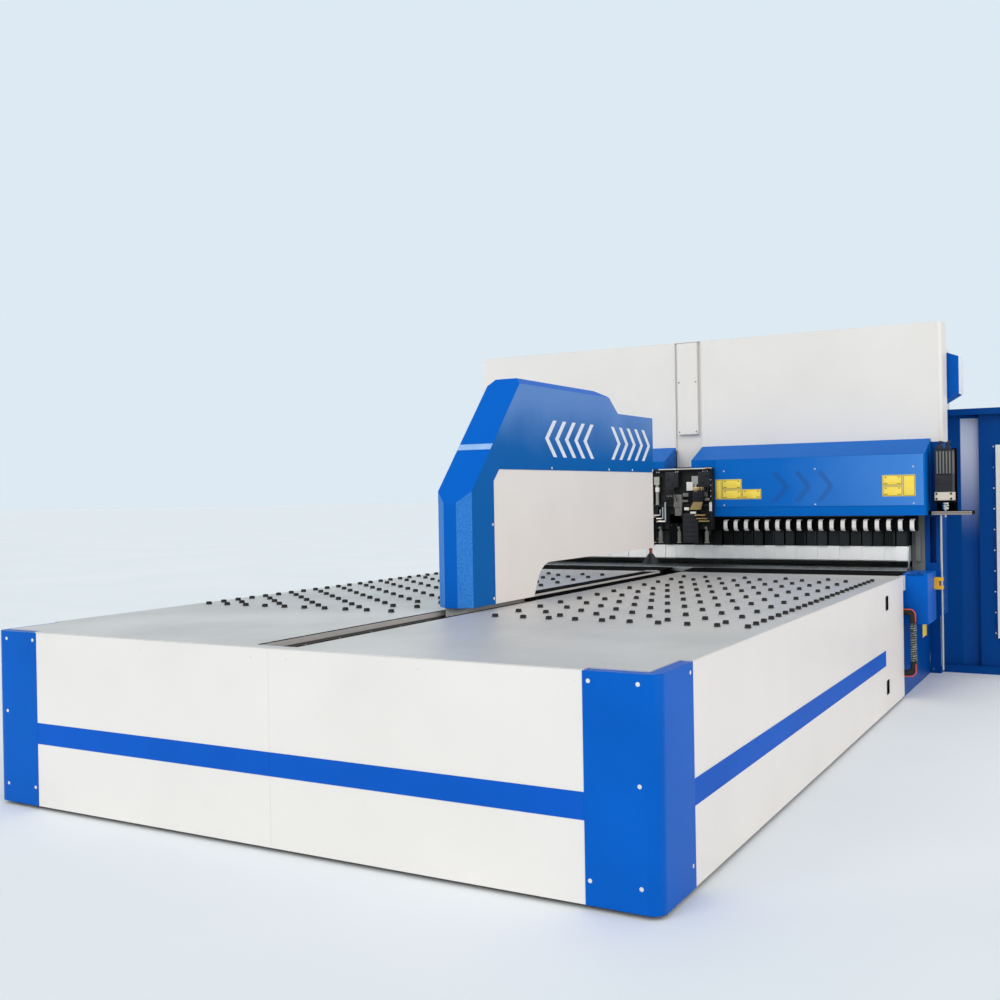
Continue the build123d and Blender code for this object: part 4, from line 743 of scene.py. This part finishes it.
def changer_details():
    """Valves, blocks, pipes, wires and covers of the tool changer."""
    face = CHANGER_FACE
    bm = bmesh.new()
    changer_blocks(bm, ((-128, 230, 1540, 1547, 3, 20, 1), (90, 136, 1384, 1447, 8, 26, 2),
                        (-156, -127, 1377, 1412, 4, 22, 2), (69, 104, 1240, 1262, 6, 12, 2),
                        (115, 156, 1208, 1230, 6, 12, 2), (259, 279, 1232, 1296, 3, 10, 1)))
    piece("valve_connectors", bm, WHITE_PLASTIC, "ram")

    bm = bmesh.new()
    changer_blocks(bm, ((136, 220, 1383, 1408, 6, 20, 2), (232, 284, 1540, 1549, 6, 24, 1)))
    outline(bm, [(111, 1244), (195, 1244), (212, 1300), (140, 1300)], "Y", face - 7, face + 16)
    for x, z in ((150, 1203), (164, 1178), (179, 1159)):
        bar(bm, (x, face - 8, z), (x + 82, face - 8, z), 6.5, 12)
        bar(bm, (x + 4, face - 8, z), (x + 4, face + 24, z), 5, 12)
    piece("changer_fittings", bm, BRASS, "ram")

    bm = bmesh.new()
    for x, low, drop, radius in ((-75, 1159, 1297, 7), (-97, 1180, 1262, 4.5), (-116, 1205, 1244, 4.5)):
        route = [(-168, face - 10, low), (x, face - 10, low), (x, face - 10, drop), (x, face + 20, drop + 16)]
        tube(bm, route, radius, 12)
    changer_bars(bm, [(x, 1523) for x in (-140, -124, 8, 24, 216, 233, 250)], 8, 4, 5, 8)
    changer_bars(bm, [(x, z) for z in (1300, 1340, 1380, 1420, 1460) for x in (-272, 272)], 5, 2, 5, 8)
    piece("changer_pipes", bm, BRIGHT_STEEL, "ram")

    bm = bmesh.new()
    changer_blocks(bm, ((-13, 50, 1262, 1356, 4, 30, 2), (-5, 44, 1200, 1260, 2, 30, 2),
                        (33, 51, 1240, 1356, 12, -3, 2), (-100, -86, 1180, 1262, 8, 10, 1),
                        (-70, -20, 1340, 1352, 6, 10, 1), (60, 100, 1340, 1366, 6, 10, 1),
                        (52, 96, 1300, 1316, 8, 10, 1), (226, 262, 1310, 1330, 8, 10, 1),
                        (222, 246, 1340, 1372, 10, 10, 1), (-262, -236, 1296, 1330, 8, 10, 1),
                        (-190, -160, 1120, 1150, 6, 10, 1)))
    for x in (-124, 23, 233):
        bar(bm, (x, face + 2, 1112), (x, face - 9, 1112), 9, 14)
        for low, high, radius, steps in ((1004, 1085, 14, 16), (999, 1006, 20, 16), (1085, 1104, 8, 12)):
            bar(bm, (x, face + 12, low), (x, face + 12, high), radius, steps)
    piece("changer_blocks", bm, MACHINE_GREY, "ram")

    bm = bmesh.new()
    changer_blocks(bm, ((56, 170, 1001, 1217, 6, 18, 3), (-76, 24, 1409, 1524, 4, 16, 3),
                        (-88, -12, 1396, 1404, 8, 10, 1), (135, 214, 1300, 1378, 5, 14, 2),
                        (-270, -170, 1290, 1500, 2, 16, 3), (176, 266, 1410, 1520, 3, 16, 3)))
    changer_blocks(bm, [(66, 160, z, z + 20, 9, -5, 1) for z in range(1016, 1187, 34)])
    changer_blocks(bm, [(x, x + 9, 1306, 1372, 9, -4, 1) for x in range(140, 201, 15)])
    knobs = ((-62, 1470), (-20, 1440), (200, 1440), (246, 1490), (-250, 1330), (-200, 1470))
    changer_bars(bm, knobs, 15, -3, 9, 14)
    screws = ((-240, 1420), (-196, 1420), (-240, 1450), (-196, 1380), (-62, 1500), (2, 1500), (2, 1424),
              (190, 1500), (250, 1424), (-262, 1240), (-262, 1180), (240, 1180), (240, 1110), (-30, 1130),
              (10, 1130))
    changer_bars(bm, screws, 7, -1, 6, 6, 0.6)
    piece("changer_covers", bm, MOTOR_BLACK, "ram")

    bm = bmesh.new()
    for k in range(5):
        x, end = -60 + 12 * k, -90 + 26 * k
        route = [(x, face - 2, 1412), (x, face - 16, 1385), (end, face - 18, 1330), (end, face + 6, 1290)]
        tube(bm, route, 3, 20, 1)
    for k in range(4):
        x, end = 190 + 20 * k, 190 + 12 * k
        route = [(x, face - 2, 1412), (x + 6, face - 15, 1390),
                 (end + 6, face - 15, 1330), (end, face + 5, 1300)]
        tube(bm, route, 3, 18, 1)
    piece("changer_wires", bm, RUBBER, "ram")


# Right-hand end

def drive_details():
    """Motor ribs, connectors and cables, coupling ball, rod spring and the rail of the bracket."""
    x, y = 1840, 4700        # axis of the motor, the gearbox and the shaft
    height = (1468, 1618)
    bm = bmesh.new()
    for k in range(-2, 3):
        rib_x, rib_y = x + 20 * k, y + 20 * k
        for side in (-1, 1):
            block(bm, (rib_x - 5, rib_x + 5), (y + side * 55 - 3, y + side * 55 + 3), height, 2)
            block(bm, (x + side * 54 - 2, x + side * 54 + 2), (rib_y - 5, rib_y + 5), height, 1)
    piece("motor_ribs", bm, RIB_GREY)
    body, cables = bmesh.new(), bmesh.new()
    block(body, (x - 50, x + 50), (y - 58, y - 53), (1396, 1456), 3)
    block(body, (x - 46, x - 6), (y - 52, y - 20), (1630, 1658), 5)
    block(body, (x + 10, x + 42), (y - 50, y - 22), (1630, 1654), 5)
    for plug in (x - 26, x + 26):
        bar(body, (plug, y - 36, 1654), (plug, y - 36, 1668), 9, 12)
        route = [(plug, y - 36, 1664), (plug, y - 36, 1682), (plug, y + 60, 1686), (plug, y + 100, 1676)]
        tube(cables, route, 6, 24)
    piece("motor_connectors", body, MOTOR_BLACK)
    piece("motor_cables", cables, RUBBER)
    screws = [((x + side, y - 58, z), (0, -1, 0)) for side in (-46, 46) for z in (1300, 1334)]
    fixings("gearbox_screws", SOCKET, screws, MOTOR_BLACK)
    bm = bmesh.new()
    ball = lathe([(10, 0), (18, 3), (23.5, 10), (25, 17), (23.5, 24), (18, 31), (10, 34)], 24)
    stamp(bm, ball, facing((x, y, 1236), (0, 0, 1)))
    piece("coupling_ball", bm, BRIGHT_STEEL, "drive_line")
    bm = bmesh.new()
    rod, coil = 1811, 11     # axis of the guide rod and radius of its spring
    spring = [(rod + coil * math.cos(k * 0.9), y + coil * math.sin(k * 0.9), 566 + k * 1.55) for k in range(46)]
    tube(bm, spring, 1.6, 1.5, 1)
    for z in (560, 638):
        bar(bm, (rod, y, z), (rod, y, z + 6), 13, 16)
    piece("rod_spring", bm, BRIGHT_STEEL)
    bm = bmesh.new()
    block(bm, (1760, 2012), (4648, 4659.7), (1193, 1203), 1.5)
    block(bm, (1760, 2012), (4652, 4659.7), (1206, 1216), 1.5)
    for rivet in range(1775, 2000, 28):
        bar(bm, (rivet, 4647, 1198), (rivet, 4650, 1198), 3.4, 10, 0.5)
    piece("bracket_rail", bm, RAIL_GREY)


def side_box_details():
    """Edge strips of the side boxes, and the small plate on the wall behind the right one."""
    bm = bmesh.new()
    for way in (-1, 1):
        block(bm, (way * 1640, way * 1740), (4398, 4400.2), (798, 812.8), 0.6)
        block(bm, (way * 1700, way * 1726), (4402, 4430), (812.2, 820), 0.8)
    piece("box_edge_strips", bm, DEEP_BLUE)
    bm = bmesh.new()
    block(bm, (1612.2, 1613.6), (5150, 5330), (300, 392), 0.4)
    piece("wall_plate", bm, YELLOW)


def conduit_details():
    """Spiral wrap, ribbed glands and the bright cord of the cable loop on the right wall."""
    x, y = 1680, 4362        # axis of the upright hose
    turns, steps, low, length, coil = 17, 8, 236, 257, 17.5
    route = []
    for k in range(turns * steps + 1):
        angle = math.tau * k / steps
        up = low + k * length / (turns * steps)
        route.append((x + coil * math.cos(angle), y + coil * math.sin(angle), up))
    bm = bmesh.new()
    tube(bm, route, 4.4, 4, 1)
    piece("spiral_wrap", bm, HOSE_WRAP)
    bm = bmesh.new()
    rib = lathe([(20.6, 0), (23.2, 1.2), (23.2, 4.2), (20.6, 5.4)], 18)
    for z in (566, 163):
        for wall in (1616, 1625):
            stamp(bm, rib, facing((wall, y, z), (1, 0, 0)))
    for z in (502, 490, 228, 240):
        stamp(bm, rib, facing((x, y, z), (0, 0, 1)))
    piece("conduit_glands", bm, RUBBER)
    bm = bmesh.new()
    for level, corner, end in ((583, 562, 500), (146, 167, 229)):
        tube(bm, [(1612.6, 4340, level), (1676, 4340, level), (1697, 4340, corner), (1697, 4340, end)], 4, 34)
    piece("bright_cord", bm, ORANGE_CORD)


# Cabinet and rear

def cabinet_details():
    """Rivets beside the door, lock plate, and the louvres in the right side."""
    spots = [((x, 5600, z), (0, -1, 0)) for x in (2052, 2745) for z in range(300, 1680, 152)]
    fixings("cabinet_rivets", SMALL_BUTTON, spots, WHITE_FILM)
    bm = bmesh.new()
    block(bm, (2636, 2680), (5573, 5578), (930, 1150), 2)
    bar(bm, (2658, 5577, 960), (2658, 5568, 960), 11, 20)
    piece("lock_plate", bm, ALUMINIUM, "door")
    side = 2829
    bm = bmesh.new()
    for low in (520, 1350):
        block(bm, (side, side + 3), (5740, 6160), (low - 20, low + 290), 1)
        for z in range(low, low + 265, 24):
            block(bm, (side, side + 6), (5760, 6140), (z, z + 12), 2)
    piece("cabinet_louvres", bm, DEEP_BLUE)


def hood_details():
    """A pale plate on the hood's outer face, which makes that face light grey-white."""
    bm = bmesh.new()
    block(bm, (1890.2, 1891.4), (5066, 5296), (2030, 2300), 0.3)
    piece("hood_pale_plate", bm, WHITE_FILM)


def rear_details():
    """Screws, louvres and handles of the rear covers."""
    rear, side = 6062, 1693
    spots = []
    for joint in (-1693, -564, 564, 1693):
        for x in (joint - 22, joint + 22):
            if abs(x) < side:
                spots += [((x, rear + 1.4, z), (0, 1, 0)) for z in (90, 680, 1260, 1840, 2410)]
    # The cabinet stands against the rear half of the right side, so no screws are put behind it.
    spots += [((way * side, y, z), (way, 0, 0)) for way in (-1, 1) for y in (5090, 5560, 6030)
              for z in (90, 1250, 2410) if not (way > 0 and y > 5500 and z < 1951)]
    fixings("rear_screws", SMALL_BUTTON, spots, BRIGHT_STEEL)
    louvres, handles = bmesh.new(), bmesh.new()
    for x in (-1129, 0, 1129):
        for z in range(1500, 1839, 26):
            block(louvres, (x - 260, x + 260), (rear + 0.4, rear + 10), (z, z + 12), 3)
        block(louvres, (x - 280, x + 280), (rear + 0.4, rear + 3), (1480, 1880), 1)
        for middle in (x - 380, x + 380):
            left, right = middle - 60, middle + 60
            tube(handles, [(left, rear, 1100), (left, rear + 33, 1100), (right, rear + 33, 1100),
                           (right, rear, 1100)], 6, 14)
    piece("rear_louvres", louvres, WHITE)
    piece("rear_handles", handles, PLASTIC)


table_details()
slot_details()
brush_pads()
feeder_details()
clamp_details()
cover_details()
fascia_details()
tool_details()
changer_details()
drive_details()
side_box_details()
conduit_details()
cabinet_details()
hood_details()
rear_details()

ROUNDED = {
    1.2: "corner_posts front_panels side_panels feeder_side_panels fascias blue_covers cover_panels side_boxes",
    2.0: "feeder_cover cabinet_body press_frame tool_hooks motor_bracket gearbox servo_motor",
}
for width, names in ROUNDED.items():
    for name in names.split():
        rounded_edges(name, width)


# Floor and light

LIGHTS = (
    # name, place, colour, angle across in degrees, strength
    ("key_light", (-3500, -6000, 6500), "FFF1E2", 30, 0.8),
    ("top_light", (2500, -1500, 8000), "FFF6EA", 60, 0.6),
    ("right_light", (9000, 2500, 4500), "FFDCC2", 60, 0.85),
)
LIT_POINT = (0, 3000, 800)


def floor():
    """Pale, slightly clouded floor."""
    made, tree, shader, place = new_finish("pale_floor", 0.7)
    spread = add(tree, "ShaderNodeTexNoise", {"Vector": place, "Scale": 1000 / FLOOR_CLOUD, "Detail": 2.0})
    blend_colours(tree, shader, spread.outputs[0], "F0F6FA", "F4F9FC")
    bm = bmesh.new()
    bmesh.ops.create_grid(bm, x_segments=1, y_segments=1, size=400)
    mesh = bpy.data.meshes.new("floor")
    bm.to_mesh(mesh)
    bm.free()
    mesh.materials.append(made)
    ground = bpy.data.objects.new("floor", mesh)
    bpy.context.collection.objects.link(ground)


def room():
    """Pale surroundings that darken upwards, and three wide soft lights."""
    world = bpy.data.worlds.new("pale_room")
    world.use_nodes = True
    tree = world.node_tree
    up = add(tree, "ShaderNodeTexCoord").outputs["Generated"]
    height = add(tree, "ShaderNodeSeparateXYZ", {0: up}).outputs[2]
    part = add(tree, "ShaderNodeMapRange", {0: height, 1: 0.42, 2: 0.9}).outputs[0]
    mix = add(tree, "ShaderNodeMix", {0: part, 6: "DDEAF3", 7: "8C9CA8"}, data_type="RGBA")
    tree.links.new(mix.outputs[2], tree.nodes["Background"].inputs["Color"])
    bpy.context.scene.world = world
    for name, spot, colour, angle, strength in LIGHTS:
        data = bpy.data.lights.new(name, "SUN")
        data.angle = math.radians(angle)
        data.energy = strength
        data.color = rgb(colour)[:3]
        lamp = bpy.data.objects.new(name, data)
        lamp.location = at(*spot)
        lamp.rotation_euler = (at(*LIT_POINT) - at(*spot)).to_track_quat("-Z", "Y").to_euler()
        bpy.context.collection.objects.link(lamp)


floor()
room()
bpy.context.scene.view_settings.view_transform = "Standard"
bpy.context.scene.view_settings.look = "None"
